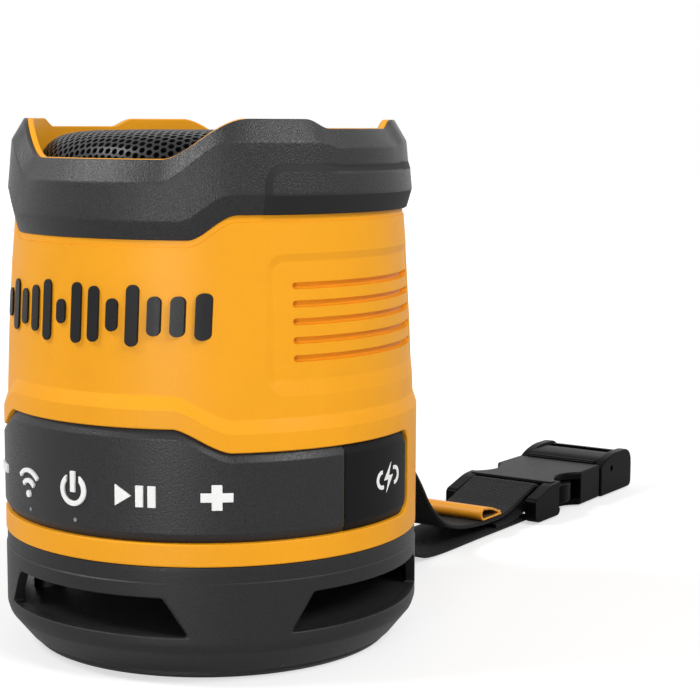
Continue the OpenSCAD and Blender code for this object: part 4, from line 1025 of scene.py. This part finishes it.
def model_bumper():
    """The soft bumper ring with its waves, creases and side pads."""
    stops = [-HALF_TURN, HALF_TURN]
    for place in (-QUARTER_TURN, QUARTER_TURN):
        for way in (-1, 1):
            edges = edge_lines(0, 0.12, 0.4) + edge_lines(PAD_SLOPE, 0.12, 0.4) + [3, 4, PAD_CORNER]
            stops += [place + way * (PAD_HALF * DEGREE - d) for d in edges]
    face = edge_lines(PAD_TOP, 0.12, 0.4) + edge_lines(PAD_TOP - PAD_SLOPE, 0.12, 0.4)
    face = filled(face + [0, PAD_TOP - PAD_CORNER, FACE_H], 0.8) / FACE_H
    above = len(bumper_section(np.zeros(1))[1])
    rows = [*range(-BELOW_ROWS, 0), *face, *range(2, 1 + above)]
    piece = rolled("bumper", filled(stops, 0.9), rows, bumper_point)
    weld(piece)
    smooth_edges(piece, 40)
    mark_pad_smooth_and_shade(piece)
    return dress(piece, "speaker", "bumper_black", "bumper_ring")


def mark_pad_smooth_and_shade(piece):
    """Marks the pads' sloping edges, which the mould leaves smooth, and the belt below the pads under the
    belly. The finish gives both no grain and painted shade.
    """
    x, y, z = corners(piece).T / MM
    s = around(x, y)
    up = z - belly(s)
    end = PAD_HALF * DEGREE - np.abs(from_side(s))
    depth = rounded_depth((PAD_TOP - up, end), PAD_CORNER)
    band = (depth > -0.02) & (depth < PAD_SLOPE + 0.02)
    # The belt under the belly is marked for its painted shade, since it faces down
    band |= (end > 0) & (up < -0.25)
    band &= np.hypot(x, y) > NECK_R - 0.5
    layer = piece.data.attributes.new("smooth_and_shade", "FLOAT", "POINT")
    layer.data.foreach_set("value", band.astype(float))


# Lugs, grille, panel and base


def model_lugs():
    """The two ears at the back that hold the strap bar."""
    outline = arc(LUG, LUG_R, -90, 90, 24) + [(LUG_FOOT, LUG[1] + LUG_R), (LUG_FOOT, LUG[1] - LUG_R)]
    near, far = LUG_X
    ears = []
    for side, (start, end) in {"left": (-far, -near), "right": (near, far)}.items():
        ears.append(bevel(flat_piece("lug_" + side, outline, "x", start, end), 0.8, 3))
    piece = join(*ears)
    smooth_edges(piece, 40)
    return dress(piece, "speaker", "housing_yellow")


def dome_point(along):
    """Radius and height of the grille's section at a distance along it from its middle."""
    radius = np.interp(along, GRILLE_ALONG, GRILLE_R)
    height = np.interp(along, GRILLE_ALONG, GRILLE_Z)
    return radius, height


def model_grille():
    """Perforated grille: one holed cell, repeated on a flat sheet that is then pressed into a dome."""
    pitch, hole = sizes().hole_pitch, sizes().hole_width / 2
    deselect()
    bpy.ops.mesh.primitive_circle_add(vertices=12, radius=hole, fill_type="NOTHING")
    piece = named("grille")
    with editing(piece):
        bpy.ops.mesh.extrude_edges_move()
    points = corners(piece)
    edge = np.array([v.select for v in piece.data.vertices])
    turn = np.arctan2(points[:, 1], points[:, 0])
    near = np.mod(turn + math.pi / 6, math.pi / 3) - math.pi / 6
    reach = pitch / 2 / np.cos(near)
    points[edge] = np.stack([reach * np.cos(turn), reach * np.sin(turn), 0 * turn], axis=1)[edge]
    move(piece, points)
    rise = pitch * math.sqrt(3) / 2
    rows = int(GRILLE_ALONG[-1] * MM / rise) + 1
    for count, offset in ((3 * rows + 4, (pitch, 0, 0)), (2 * rows + 1, (pitch / 2, rise, 0))):
        apply(
            piece, "ARRAY", count=count, use_relative_offset=False, use_constant_offset=True,
            constant_offset_displace=offset, use_merge_vertices=True, merge_threshold=1e-5,
        )
    flat = corners(piece)
    flat[:, 1] -= rows * rise
    flat[:, 0] -= rows * pitch / 2 + int((3 * rows + 4) / 2) * pitch
    move(piece, flat)
    x, y, _ = face_middles(piece)
    delete_faces(piece, np.hypot(x, y) > GRILLE_ALONG[-1])
    x, y, _ = corners(piece).T
    along = np.hypot(x, y)
    radius, height = dome_point(along / MM)
    scale = radius * MM / np.maximum(along, 1e-9)
    move(piece, np.stack([x * scale, y * scale, height * MM], axis=1))
    weld(piece)
    apply(piece, "SOLIDIFY", thickness=GRILLE_SHEET * MM, offset=-1)
    smooth_edges(piece, 40)
    dress(piece, "speaker", "grille_black", "rim_grille")
    # Dark sheet close behind it: painted shade, so that the holes read dark
    shade_sheet = [(max(0.01, r - SHADE_SHEET_GAP[0]), z - SHADE_SHEET_GAP[1]) for r, z in zip(GRILLE_R, GRILLE_Z)]
    cloth = lathe("grille_shade_sheet", np.linspace(-HALF_TURN, HALF_TURN, 97), lambda s: shade_sheet)
    weld(cloth)
    smooth_edges(cloth, 40)
    dress(cloth, "speaker", "shade_sheet_black")
    # Plain skirt under the holes
    edge = GRILLE_R[-1]
    path = [(edge - 0.03, GRILLE_Z[-1] + 0.9), (edge, GRILLE_FOOT), (edge - 0.8, GRILLE_FOOT)]
    skirt = lathe("grille_skirt", np.linspace(-HALF_TURN, HALF_TURN, 181), lambda s: path)
    weld(skirt)
    smooth_edges(skirt, 40)
    return dress(skirt, "speaker", "grille_black")


def panel_point(low_s, high_s, chamfers, corner):
    """Places for a control panel grid: chamfers are the widths at its left, low, right and high edges."""
    box = (low_s, PANEL_Z + PANEL_GAP, high_s, PANEL_SIDE_TOP - PANEL_GAP)

    def place(s, h):
        distances = (s - box[0], h - box[1], box[2] - s, box[3] - h)
        drops = [PANEL_CHAMFER[0] * np.clip(1 - d / c, 0, 1) * (c / PANEL_CHAMFER[1]) ** 0.7
                 for d, c in zip(distances, chamfers)]
        drop = np.maximum.reduce(drops)
        edge = np.minimum.reduce(distances) < 1e-6
        for side, way, radius in ((0, -1, corner[0]), (2, 1, corner[1])):
            for z_at, z_way in ((box[1], -1), (box[3], 1)):
                s, h = round_corner(s, h, (box[side], z_at), (way, z_way), radius)
        top = panel_top(s)
        # Rows near the lower and upper edge keep their distance from it, and those between are spread
        low, high = PANEL_Z + PANEL_MARGIN, PANEL_SIDE_TOP - PANEL_MARGIN
        between = low + (h - low) * (top - PANEL_MARGIN - low) / (high - low)
        z = np.where(h < low, h, np.where(h < high, between, top - PANEL_SIDE_TOP + h))
        radius = np.where(edge, BODY_R - BED_DEPTH + 0.1, PANEL_R - drop)
        return on_body(s, radius, z)

    return place


def panel_piece(name, low_s, high_s, chamfers, corner):
    """One rubber panel with chamfered edges, thick at its rim."""
    columns = [low_s, high_s, low_s + 0.02, high_s - 0.02]
    ends = ((low_s, 1, chamfers[0], corner[0]), (high_s, -1, chamfers[2], corner[1]))
    for edge, way, chamfer, radius in ends:
        columns += [edge + way * d for d in (chamfer - 0.2, chamfer, chamfer + 0.25, radius)]
        columns += [edge + way * d for d in np.arange(0.6, radius, 0.6)]
    low, high = PANEL_Z + PANEL_GAP, PANEL_SIDE_TOP - PANEL_GAP
    rows = [low, high, low + 0.02, high - 0.02]
    for edge, way, chamfer in ((low, 1, chamfers[1]), (high, -1, chamfers[3])):
        stops = (chamfer - 0.2, chamfer, chamfer + 0.25, PANEL_CORNER, PANEL_MARGIN - PANEL_GAP)
        rows += [edge + way * d for d in stops]
        rows += [edge + way * d for d in np.arange(0.6, PANEL_CORNER, 0.6)]
    place = panel_point(low_s, high_s, chamfers, corner)
    piece = rolled(name, filled(columns, 1.2), filled(rows, 1.2), place)
    weld(piece, outside=False)
    smooth_edges(piece, 45)
    return piece


def model_panel():
    """The control panel and the charge door beside it, split at the seam."""
    wide, seam, end = PANEL_CHAMFER[1], DOOR_SEAM * DEGREE, PANEL_END * DEGREE
    panel = panel_piece(
        "panel_skin", -end + PANEL_GAP, seam - SEAM_HALF,
        (wide, wide, SEAM_CHAMFER, wide), (PANEL_CORNER, SEAM_CORNER),
    )
    dress(panel, "speaker", "rubber_black", "control_panel")
    door = panel_piece(
        "door_skin", seam + SEAM_HALF, end - PANEL_GAP * 2,
        (SEAM_CHAMFER, wide, wide, wide), (SEAM_CORNER, PANEL_CORNER),
    )
    dress(door, "door", "door_black", "port_door")
    # Plug on the door's back that fills the socket
    plug = bevel(block("door_plug", *DOOR_PLUG), 0.3)
    return dress(plug, "door", "door_black")


def from_window(s):
    """Distance from the nearest window's middle, with its sign."""
    return np.mod(s + QUARTER_TURN / 2, QUARTER_TURN) - QUARTER_TURN / 2


def window_half(h):
    """Half a window's width at a height. Its ends lean in towards the top."""
    lean = np.clip((h - SILL_Z) / (WINDOW_Z - SILL_Z), 0, 1)
    return WINDOW_SILL + (WINDOW_TOP - WINDOW_SILL) * lean


def base_point(s, h):
    """Place of a base grid point."""
    between = QUARTER_TURN / 2
    off = from_window(s)
    middle = s - off
    box = (-WINDOW_SILL, SILL_Z, WINDOW_SILL, WINDOW_Z)
    inside = np.minimum.reduce([off - box[0], box[2] - off, h - box[1], box[3] - h])
    local, h = round_corners(off, h, box, WINDOW_CORNER)
    half = window_half(h)
    past = np.clip((np.abs(local) - WINDOW_SILL) / (between - WINDOW_SILL), 0, 1)
    leaned = np.where(
        np.abs(local) <= WINDOW_SILL, local * half / WINDOW_SILL,
        np.sign(local) * (half + (between - half) * past),
    )
    radius = np.interp(h, BASE_ROWS, BASE_RADII)
    height = np.interp(h, BASE_ROWS, BASE_HEIGHTS)
    # Rounded rim of each window
    width, depth = WINDOW_RIM
    share = np.clip(1 + inside / width, 0, 1) * (inside <= 0) * (h > SILL_Z - 1) * (h < WINDOW_Z + 1)
    radius -= depth * (1 - np.sqrt(1 - share * share))
    return on_body(middle + leaned, radius, height)


def model_base():
    """The black base with its four sound windows."""
    columns = []
    for middle in np.arange(-2, 3) * QUARTER_TURN:
        for way in (-1, 1):
            steps = (-1.2, -0.8, -0.4, 0, 0.12, 0.25, 0.37, 0.5, 0.8)
            columns += [middle + way * (WINDOW_SILL + d) for d in steps]
        columns.append(middle + QUARTER_TURN / 2)
    columns = [c for c in columns if -HALF_TURN < c < HALF_TURN] + [-HALF_TURN, HALF_TURN]
    rows = list(BASE_ROWS)
    for at, way in ((SILL_Z, 1), (WINDOW_Z, -1)):
        rows += [at + way * d for d in (1.2, 0.8, 0.4, 0, -0.12, -0.25, -0.37, -0.5)]
    piece = rolled("base_shell", filled(columns, 1.4), filled(rows, 1.3), base_point)
    weld(piece)
    cut_windows(piece)
    smooth_edges(piece, 35)
    radius, reach, low, high = POST
    for x, y in arc((0, 0), reach, 45, 315, 3):
        post = rod("post", radius, (x, y, low), (x, y, high))
        smooth_edges(post, 40)
        join(piece, post)
    return dress(piece, "speaker", "housing_black", "base_housing")


def cut_windows(piece):
    """Opens the base's windows and gives their edges the depth of the wall."""
    x, y, z = face_middles(piece)
    side = window_half(z) - np.abs(from_window(around(x, y)))
    rise = np.minimum(z - SILL_Z, WINDOW_Z - z)
    hole = rounded_depth((rise, side), WINDOW_CORNER) > -0.02
    delete_faces(piece, hole & (np.hypot(x, y) > OUTER_R))
    count = len(piece.data.vertices)
    with editing(piece):
        bpy.ops.mesh.select_mode(type="EDGE")
        select_open_edges()
    x, y, z = corners(piece).T / MM
    keep = (z > SILL_Z - 1) & (z < WINDOW_Z + 1) & (np.hypot(x, y) > OUTER_R)
    edges = np.empty(len(piece.data.edges) * 2, dtype=int)
    piece.data.edges.foreach_get("vertices", edges)
    edges = edges.reshape(-1, 2)
    chosen = np.array([e.select for e in piece.data.edges]) & keep[edges].all(axis=1)
    piece.data.vertices.foreach_set("select", np.zeros(count, dtype=bool))
    piece.data.edges.foreach_set("select", chosen)
    bpy.ops.object.mode_set(mode="EDIT")
    bpy.ops.mesh.extrude_edges_move()
    bpy.ops.object.mode_set(mode="OBJECT")
    points = corners(piece)
    fresh = np.arange(len(points)) >= count
    reach = np.hypot(points[:, 0], points[:, 1])
    scale = np.where(fresh, (reach - WINDOW_WALL * MM) / np.maximum(reach, 1e-9), 1.0)
    points[:, :2] *= scale[:, None]
    move(piece, points)


# Strap and buckle


def on_ring(centre, radius, angle):
    """Point on a ring at an angle in degrees."""
    turn = math.radians(angle)
    return np.array(centre) + radius * np.array([math.cos(turn), math.sin(turn)])


def wrap(centre, radius, start, end, steps=18):
    """Points round a bar between two angles."""
    return [on_ring(centre, radius, start + (end - start) * i / steps) for i in range(steps + 1)]


def smooth_path(stops, steps=8):
    """A curve through the stops, as the CAD source draws it."""
    p = [np.array(stop, dtype=float) for stop in stops]
    path = []
    for i in range(len(p) - 1):
        a, b, c, d = p[max(0, i - 1)], p[i], p[i + 1], p[min(len(p) - 1, i + 2)]
        for k in range(steps):
            u = k / steps
            bend = (2 * a - 5 * b + 4 * c - d) * u * u + (3 * b - a - 3 * c + d) * u**3
            path.append(0.5 * (2 * b + (c - a) * u + bend))
    return path + [p[-1]]


def strap_path():
    """Middle line of the webbing from its tail, round the sleeve bar and the lug bar, to the table."""
    sleeve, lug = wrap(SLEEVE_BAR, *SLEEVE_TURN), wrap(LUG, *LUG_TURN)
    tail = smooth_path([sleeve[0]] + TAIL_ROUTE)
    upper = smooth_path([lug[0]] + UPPER_ROUTE + [sleeve[-1]])
    lower = smooth_path([lug[-1]] + LOWER_ROUTE)
    return np.array(tail[::-1] + sleeve[1:-1] + upper[::-1] + lug[1:-1] + lower)


def left_of(path):
    """Directions at right angles to a path, on its left."""
    ways = np.gradient(path, axis=0)
    ways /= np.linalg.norm(ways, axis=1)[:, None]
    return np.stack([-ways[:, 1], ways[:, 0]], axis=1)


def ribbon(name, path, width, thickness, edge):
    """A flat strip along a path in the plane of the strap, with round edges. Its UV is in metres."""
    sides = left_of(path)
    along = np.concatenate([[0], np.cumsum(np.linalg.norm(np.diff(path, axis=0), axis=1))])
    half_w, half_t = width / 2 - edge, thickness / 2
    upper = [(-half_w + 2 * half_w * i / 24, half_t) for i in range(25)]
    right = [(half_w + edge * math.cos(a), half_t * math.sin(a)) for a in np.radians((60, 30, 0, -30, -60))]
    lower = [(x, -half_t) for x, _ in upper[::-1]]
    left = [(-x, y) for x, y in right[::-1]]
    section = np.array(upper + right + lower + left + upper[:1])

    def place(i, j):
        i, j = i.astype(int), j.astype(int)
        x, t = section[j].T
        y = path[i, 0] + sides[i, 0] * t
        z = path[i, 1] + sides[i, 1] * t
        return x, y, z

    piece = rolled(name, np.arange(len(path)), np.arange(len(section)), place)
    layer = piece.data.uv_layers.active.data
    uv = np.empty(len(layer) * 2)
    layer.foreach_get("uv", uv)
    uv = uv.reshape(-1, 2)
    station = np.rint(uv[:, 0] * (len(path) - 1)).astype(int)
    row = np.rint(uv[:, 1] * (len(section) - 1)).astype(int)
    uv = np.stack([section[row, 0], along[station]], axis=1) * MM
    layer.foreach_set("uv", uv.ravel())
    with editing(piece):
        bpy.ops.mesh.remove_doubles(threshold=2e-6)
        select_open_edges()
        bpy.ops.mesh.fill()
        bpy.ops.mesh.select_all(action="SELECT")
        bpy.ops.mesh.normals_make_consistent(inside=False)
    smooth_edges(piece, 60, flats=False)
    return piece


def model_strap():
    """The webbing strap, and the folded tab sewn across it."""
    width, thickness = sizes().web_width / MM, sizes().web_thickness / MM
    strap = ribbon("strap", strap_path(), width, thickness, 0.5)
    dress(strap, "strap", "webbing_black", "strap_webbing")
    lap = TAB[1] + 0.8
    turn = wrap((TAB[0], TAB[1] + TAB_R), TAB_R, 270, 62, 24)
    fold = [(TAB[2], TAB[1]), ((TAB[0] + TAB[2]) / 2, TAB[1])] + [tuple(p) for p in turn]
    fold += [(TAB[0] + 4.6, lap + 2.05), (TAB[0] + 7.6, lap + 1.1)]
    fold += [(TAB[2] - 1.6, lap + 0.1), (TAB[2] - 0.6, lap)]
    path = np.array(smooth_path(fold, 3))
    tab = ribbon("pull_tab", path, width - 0.4, TAB_THICKNESS, 0.2)
    dress(tab, "strap", "tab_yellow", "strap_tab")
    # Dark strip over the inside of the fold: painted shade
    inside = (path - left_of(path) * FOLD_SHADE[0])[path[:, 0] < TAB[2] - 2.2]
    shade_sheet = ribbon("tab_fold_shade", inside, width - 0.6, FOLD_SHADE[1], 0.04)
    return dress(shade_sheet, "strap", "tab_brown")


def two_sided(start, end):
    """The two ranges of x that lie at the same distance on both sides of the buckle."""
    return [(start, end), (-end, -start)]


def closed_path(points, cuts):
    """Outline through the points, in order, with each corner rounded."""
    first = [(a + b) / 2 for a, b in zip(points[-1], points[0])]
    path = corner_cut([first] + points + [first], cuts, 5)
    return [tuple(float(v) for v in p) for p in path[:-1]]


def plan_block(name, outline, low, high, edge):
    """A block from its plan, with its edges rounded."""
    return bevel(flat_piece(name, outline, "z", low, high), edge, 3)


def model_sleeve():
    """Sleeve half of the buckle: flat box with a finger scallop on each side and two horns round its bar."""
    y0, y1, y2, y3, y4 = BUCKLE_Y
    low, high = SLEEVE_Z
    middle = (y2 + y3) / 2
    scallop = arc((SCALLOP[0], middle), SCALLOP[1], 126, 234, 18)
    right = [(16.6, y4), (16.9, y3 + 1.6)] + scallop + [(16.9, y2 - 1.6), (16.2, y1)]
    left = [(-x, y) for x, y in right[::-1]]
    sleeve = plan_block("buckle_body", left + right, low, high, 0.9)
    side = [(y2 + 0.6, high - 0.15), (y1 - 1.5, high - 0.5), (y0, 8.4), (y0, low), (y2 + 0.6, low)]
    horn = closed_path(side, (0.3, 2.6, 1.5, 3.4, 2.2))
    horns = [bevel(flat_piece("horn", horn, "x", a, b), 1.3, 3) for a, b in two_sided(*HORN_X)]
    sleeve = cut(sleeve, *horns, operation="UNION")
    floor, roof = MOUTH_Z
    tools = [block("mouth", (-HORN_X[0], y1 + 2.4, floor), (HORN_X[0], y4 + 5, roof))]
    tools += [block("side_window", (a, y2 - 0.4, floor), (b, y3 + 0.4, roof)) for a, b in two_sided(11, 30)]
    sleeve = cut(sleeve, *tools)
    bevel(sleeve, 0.3, 2, 50)
    bar = rod("sleeve_bar", 2.0, (-14, *SLEEVE_BAR), (14, *SLEEVE_BAR))
    sleeve = join(sleeve, bar)
    smooth_edges(sleeve, 40)
    return dress(sleeve, "strap", "buckle_black", "buckle_sleeve")


def model_prongs():
    """The plug's two arms, whose rounded pads show in the sleeve's scallops."""
    _, _, y2, y3, y4 = BUCKLE_Y
    middle = (y2 + y3) / 2
    outline = arc((PRONG_PAD[0], middle), PRONG_PAD[1], -50, 50, 24)
    outline += [(10.6, y3 + 0.5), (10.6, y4 + 4), (8, y4 + 4), (8, y2 + 1.5)]
    arms = [plan_block("arm", [(x * side, y) for x, y in outline], *ARM_Z, 0.6) for side in (1, -1)]
    prongs = join(*arms)
    smooth_edges(prongs, 40)
    return dress(prongs, "plug", "buckle_black", "buckle_prongs")


def model_plug():
    """Plug half: two rounded cheeks with a lower cover between them, a webbing slot and a tongue."""
    y4 = BUCKLE_Y[-1]
    end, top, low = y4 + PLUG_LENGTH, PLUG_TOP, SLEEVE_Z[0]
    side = [(y4 + 0.3, low), (end, low), (end, top), (y4 + 12, top)]
    side += [(y4 + 5, top - 1.3), (y4 + 0.3, top - 3.6)]
    cheek = closed_path(side, (0.6, 2.6, 6.2, 3.0, 3.0, 1.0))
    cheeks = [bevel(flat_piece("plug_cheek", cheek, "x", a, b), 0.7, 3) for a, b in two_sided(*CHEEK_X)]
    side = [(y4 + 0.5, low + 0.3), (end - 0.7, low + 0.3), (end - 0.7, top - 0.7), (y4 + 11, top - 0.7)]
    side += [(y4 + 4.6, top - 1.3), (y4 + 0.5, top - 3.2)]
    cover = flat_piece("plug_cover", closed_path(side, (0.5, 2.2, 5.6, 3.0, 2.6, 1.6)), "x", -14, 14)
    cover = cut(cover, block("slot", (-13, y4 + PLUG_SLOT[0], -1), (13, y4 + PLUG_SLOT[1], 20)))
    bevel(cover, 0.4, 2, 50)
    ridge = rod("ridge", 1.1, (-13.6, y4 + 1.5, top - 2.9), (13.6, y4 + 1.5, top - 2.9), 24)
    tongue = bevel(block("tongue", (-3, 180, ARM_Z[0]), (3, y4 + 2, ARM_Z[1])), 0.5)
    holes = [rod("pin_hole", 1.1, (a, y4 + 9, 9.6), (b, y4 + 9, 9.6), 24) for a, b in two_sided(15.5, 20)]
    cheeks = [cut(cheek, hole) for cheek, hole in zip(cheeks, holes)]
    plug = join(*cheeks, cover, ridge, tongue)
    smooth_edges(plug, 40)
    return dress(plug, "plug", "buckle_black", "buckle_plug")


# Small parts taken from the CAD with their edges softened


def softened(name, node, body, slot, width):
    """A copy of a CAD node with its flat faces merged and its edges rounded."""
    source = frame["nodes"][node]
    piece = bpy.data.objects.new(name, source.data.copy())
    piece.data.name = name
    bpy.context.collection.objects.link(piece)
    with editing(piece):
        bpy.ops.mesh.remove_doubles(threshold=1e-6)
        bpy.ops.mesh.dissolve_limited(angle_limit=math.radians(1))
        bpy.ops.mesh.normals_make_consistent(inside=False)
    bevel(piece, width, 2, 35)
    smooth_edges(piece, 40)
    return dress(piece, body, slot, node)


def model_marks():
    """Key symbols, the emblem and the door's symbol."""
    for key in ("minus", "wireless", "power", "play", "plus"):
        softened("symbol_" + key, "key_" + key, "key_" + key, "symbol_white", 0.15)
    softened("emblem", "emblem_bars", "speaker", "emblem_black", 0.25)
    model_charge_mark()


def model_charge_mark():
    """The door's symbol: a bolt between two rounded brackets, laid on the door's curve."""
    bolt = [(1.2, 3.9), (-2.2, -0.5), (-0.1, -0.5), (-1.2, -3.9), (2.2, 0.5), (0.1, 0.5)]
    outer = arc((3.0, 0.2), 2.5, 90, -90, 20)
    inner = arc((3.0, 0.2), 1.45, -90, 90, 20)
    bracket = [(2.3, 2.7)] + outer + [(2.9, -2.3), (2.9, -1.25)] + inner + [(2.3, 1.65)]
    outlines = [bolt, bracket, [(-x, -z) for x, z in bracket]]
    marks = []
    for outline in outlines:
        outline = [(y + CHARGE_MARK[0], z + CHARGE_MARK[1]) for y, z in outline]
        mark = flat_piece("door_mark", outline, "x", 0, 1)
        points = corners(mark) / MM
        reach = PANEL_R + MARK_RISE[0] + MARK_RISE[1] * points[:, 0]
        points[:, 0] = np.sqrt(reach**2 - points[:, 1] ** 2)
        move(mark, points * MM)
        marks.append(bevel(mark, 0.06, 1, 50))
    piece = join(*marks)
    smooth_edges(piece, 30)
    return dress(piece, "door", "symbol_white", "door_symbol")


def paint_inside():
    """Finishes on the CAD nodes that stay as they are."""
    for part in frame["record"]["subparts"]:
        node = frame["nodes"][part["node"]]
        node.data.materials.clear()
        slot = "lens_grey" if part["node"] == "status_lights" else part["material_slot"]
        node.data.materials.append(MATERIALS[slot])


# Stage


def lamp(name, energy, size, place, aim):
    """A soft square light."""
    deselect()
    bpy.ops.object.light_add(type="AREA", location=place)
    made = bpy.context.object
    made.name = name
    made.data.energy = energy
    made.data.size = size
    made.rotation_euler = (Vector(aim) - Vector(place)).to_track_quat("-Z", "Y").to_euler()


def seen_directly(tree, mirrored=1.0):
    """A node that is 1 for rays from the camera or through glass, and a share for mirrored rays."""
    rays = add(tree, "ShaderNodeLightPath").outputs
    gloss = add(tree, "ShaderNodeMath", {0: rays["Is Glossy Ray"], 1: mirrored}, operation="MULTIPLY")
    seen = add(tree, "ShaderNodeMath", {0: rays["Is Camera Ray"], 1: gloss}, operation="MAXIMUM")
    return add(tree, "ShaderNodeMath", {0: seen, 1: rays["Is Transmission Ray"]}, operation="MAXIMUM")


def light_stage():
    """White studio: even light, a low key from the front, a fill from the right and a lamp from above."""
    scene = bpy.context.scene
    scene.view_settings.view_transform = "Standard"
    world = bpy.data.worlds.new("Studio")
    scene.world = world
    world.use_nodes = True
    tree = world.node_tree
    back = tree.nodes["Background"]
    strength = add(tree, "ShaderNodeMapRange", {"Value": seen_directly(tree), "To Min": WORLD_LIGHT})
    feed(tree, strength, back.inputs["Strength"])
    back.inputs["Color"].default_value = (1, 1, 1, 1)
    for name, settings in LAMPS.items():
        lamp(name, *settings)


def lay_floor():
    """Large pale table top that reads white and keeps the speaker's shadow."""
    deselect()
    bpy.ops.mesh.primitive_plane_add(size=8, location=(0, 0, -0.0003))
    floor = bpy.context.object
    floor.name = "Table"
    settle(floor)
    white = (1, 1, 1, 1)
    material, tree, shader = finish("White laminate", (0.5, 0.5, 0.5, 1), roughness=0.7, emission_color=white)
    # The glow grows away from the speaker, where the lamps reach less, so that the table turns white
    place = add(tree, "ShaderNodeTexCoord").outputs["Object"]
    reach = add(tree, "ShaderNodeVectorMath", {0: place}, operation="LENGTH")
    near, far = GLOW_REACH
    level = {"Value": reach, "From Min": near, "From Max": far, "To Min": FLOOR_GLOW}
    level = add(tree, "ShaderNodeMapRange", level)
    seen = seen_directly(tree, FLOOR_MIRRORED)
    glow = add(tree, "ShaderNodeMath", {0: seen, 1: level}, operation="MULTIPLY")
    feed(tree, glow, shader.inputs["Emission Strength"])
    floor.data.materials.append(material)


def place_camera():
    """Camera fitted to the photograph's view."""
    deselect()
    bpy.ops.object.camera_add()
    camera = bpy.context.object
    camera.name = "Camera"
    camera.data.lens = LENS
    camera.data.sensor_width = 36.0
    camera.data.clip_start = 0.01
    yaw, pitch, roll = (math.radians(a) for a in CAMERA_TURNS)
    turn = Matrix.Rotation(yaw, 4, "Z") @ Matrix.Rotation(pitch, 4, "X") @ Matrix.Rotation(roll, 4, "Z")
    camera.matrix_world = Matrix.Translation(CAMERA_PLACE) @ turn
    bpy.context.scene.camera = camera


# Operators and panel


class SpeakerBody(bpy.types.Operator):
    """Models the yellow body, its rim and its strap lugs"""

    bl_idname = "speaker.body"
    bl_label = "Body"

    def execute(self, context):
        model_body()
        model_rim()
        model_lugs()
        return {"FINISHED"}


class SpeakerBumper(bpy.types.Operator):
    """Models the soft bumper ring"""

    bl_idname = "speaker.bumper"
    bl_label = "Bumper"

    def execute(self, context):
        model_bumper()
        return {"FINISHED"}


class SpeakerGrille(bpy.types.Operator):
    """Models the perforated grille"""

    bl_idname = "speaker.grille"
    bl_label = "Grille"

    def execute(self, context):
        model_grille()
        return {"FINISHED"}


class SpeakerPanel(bpy.types.Operator):
    """Models the control panel, the charge door and the symbols on them"""

    bl_idname = "speaker.panel"
    bl_label = "Control panel"

    def execute(self, context):
        model_panel()
        model_marks()
        return {"FINISHED"}


class SpeakerBase(bpy.types.Operator):
    """Models the base with its sound windows"""

    bl_idname = "speaker.base"
    bl_label = "Base"

    def execute(self, context):
        model_base()
        return {"FINISHED"}


class SpeakerStrap(bpy.types.Operator):
    """Models the webbing strap, its tab and its buckle"""

    bl_idname = "speaker.strap"
    bl_label = "Strap and buckle"

    def execute(self, context):
        model_strap()
        model_sleeve()
        model_prongs()
        model_plug()
        return {"FINISHED"}


class SpeakerInside(bpy.types.Operator):
    """Gives the parts inside their finishes"""

    bl_idname = "speaker.inside"
    bl_label = "Inside parts"

    def execute(self, context):
        paint_inside()
        return {"FINISHED"}


class SpeakerStage(bpy.types.Operator):
    """Sets up the table, the lights and the camera"""

    bl_idname = "speaker.stage"
    bl_label = "Stage"

    def execute(self, context):
        lay_floor()
        light_stage()
        place_camera()
        return {"FINISHED"}


STEPS = (
    SpeakerInside, SpeakerBody, SpeakerBumper, SpeakerGrille,
    SpeakerPanel, SpeakerBase, SpeakerStrap, SpeakerStage,
)


class SpeakerSidebar(bpy.types.Panel):
    """Sizes, colours and steps of the speaker"""

    bl_idname = "VIEW3D_PT_speaker"
    bl_label = "Speaker"
    bl_space_type = "VIEW_3D"
    bl_region_type = "UI"
    bl_category = "Speaker"

    def draw(self, context):
        for group in (sizes(), colours()):
            for key in group.__annotations__:
                self.layout.prop(group, key)
        for step in STEPS:
            self.layout.operator(step.bl_idname)


CLASSES = (SpeakerSizes, SpeakerColours, *STEPS, SpeakerSidebar)


def register():
    """Adds the classes and the scene's settings."""
    for kind in CLASSES:
        bpy.utils.register_class(kind)
    bpy.types.Scene.speaker_sizes = bpy.props.PointerProperty(type=SpeakerSizes)
    bpy.types.Scene.speaker_colours = bpy.props.PointerProperty(type=SpeakerColours)


def unregister():
    """Takes away the scene's settings and the classes."""
    del bpy.types.Scene.speaker_colours
    del bpy.types.Scene.speaker_sizes
    for kind in reversed(CLASSES):
        bpy.utils.unregister_class(kind)


def main():
    """Models the speaker step by step."""
    register()
    MATERIALS.update(make_materials())
    bpy.ops.speaker.inside()
    bpy.ops.speaker.body()
    bpy.ops.speaker.bumper()
    bpy.ops.speaker.grille()
    bpy.ops.speaker.panel()
    bpy.ops.speaker.base()
    bpy.ops.speaker.strap()
    bpy.ops.speaker.stage()


if __name__ == "__main__":
    main()
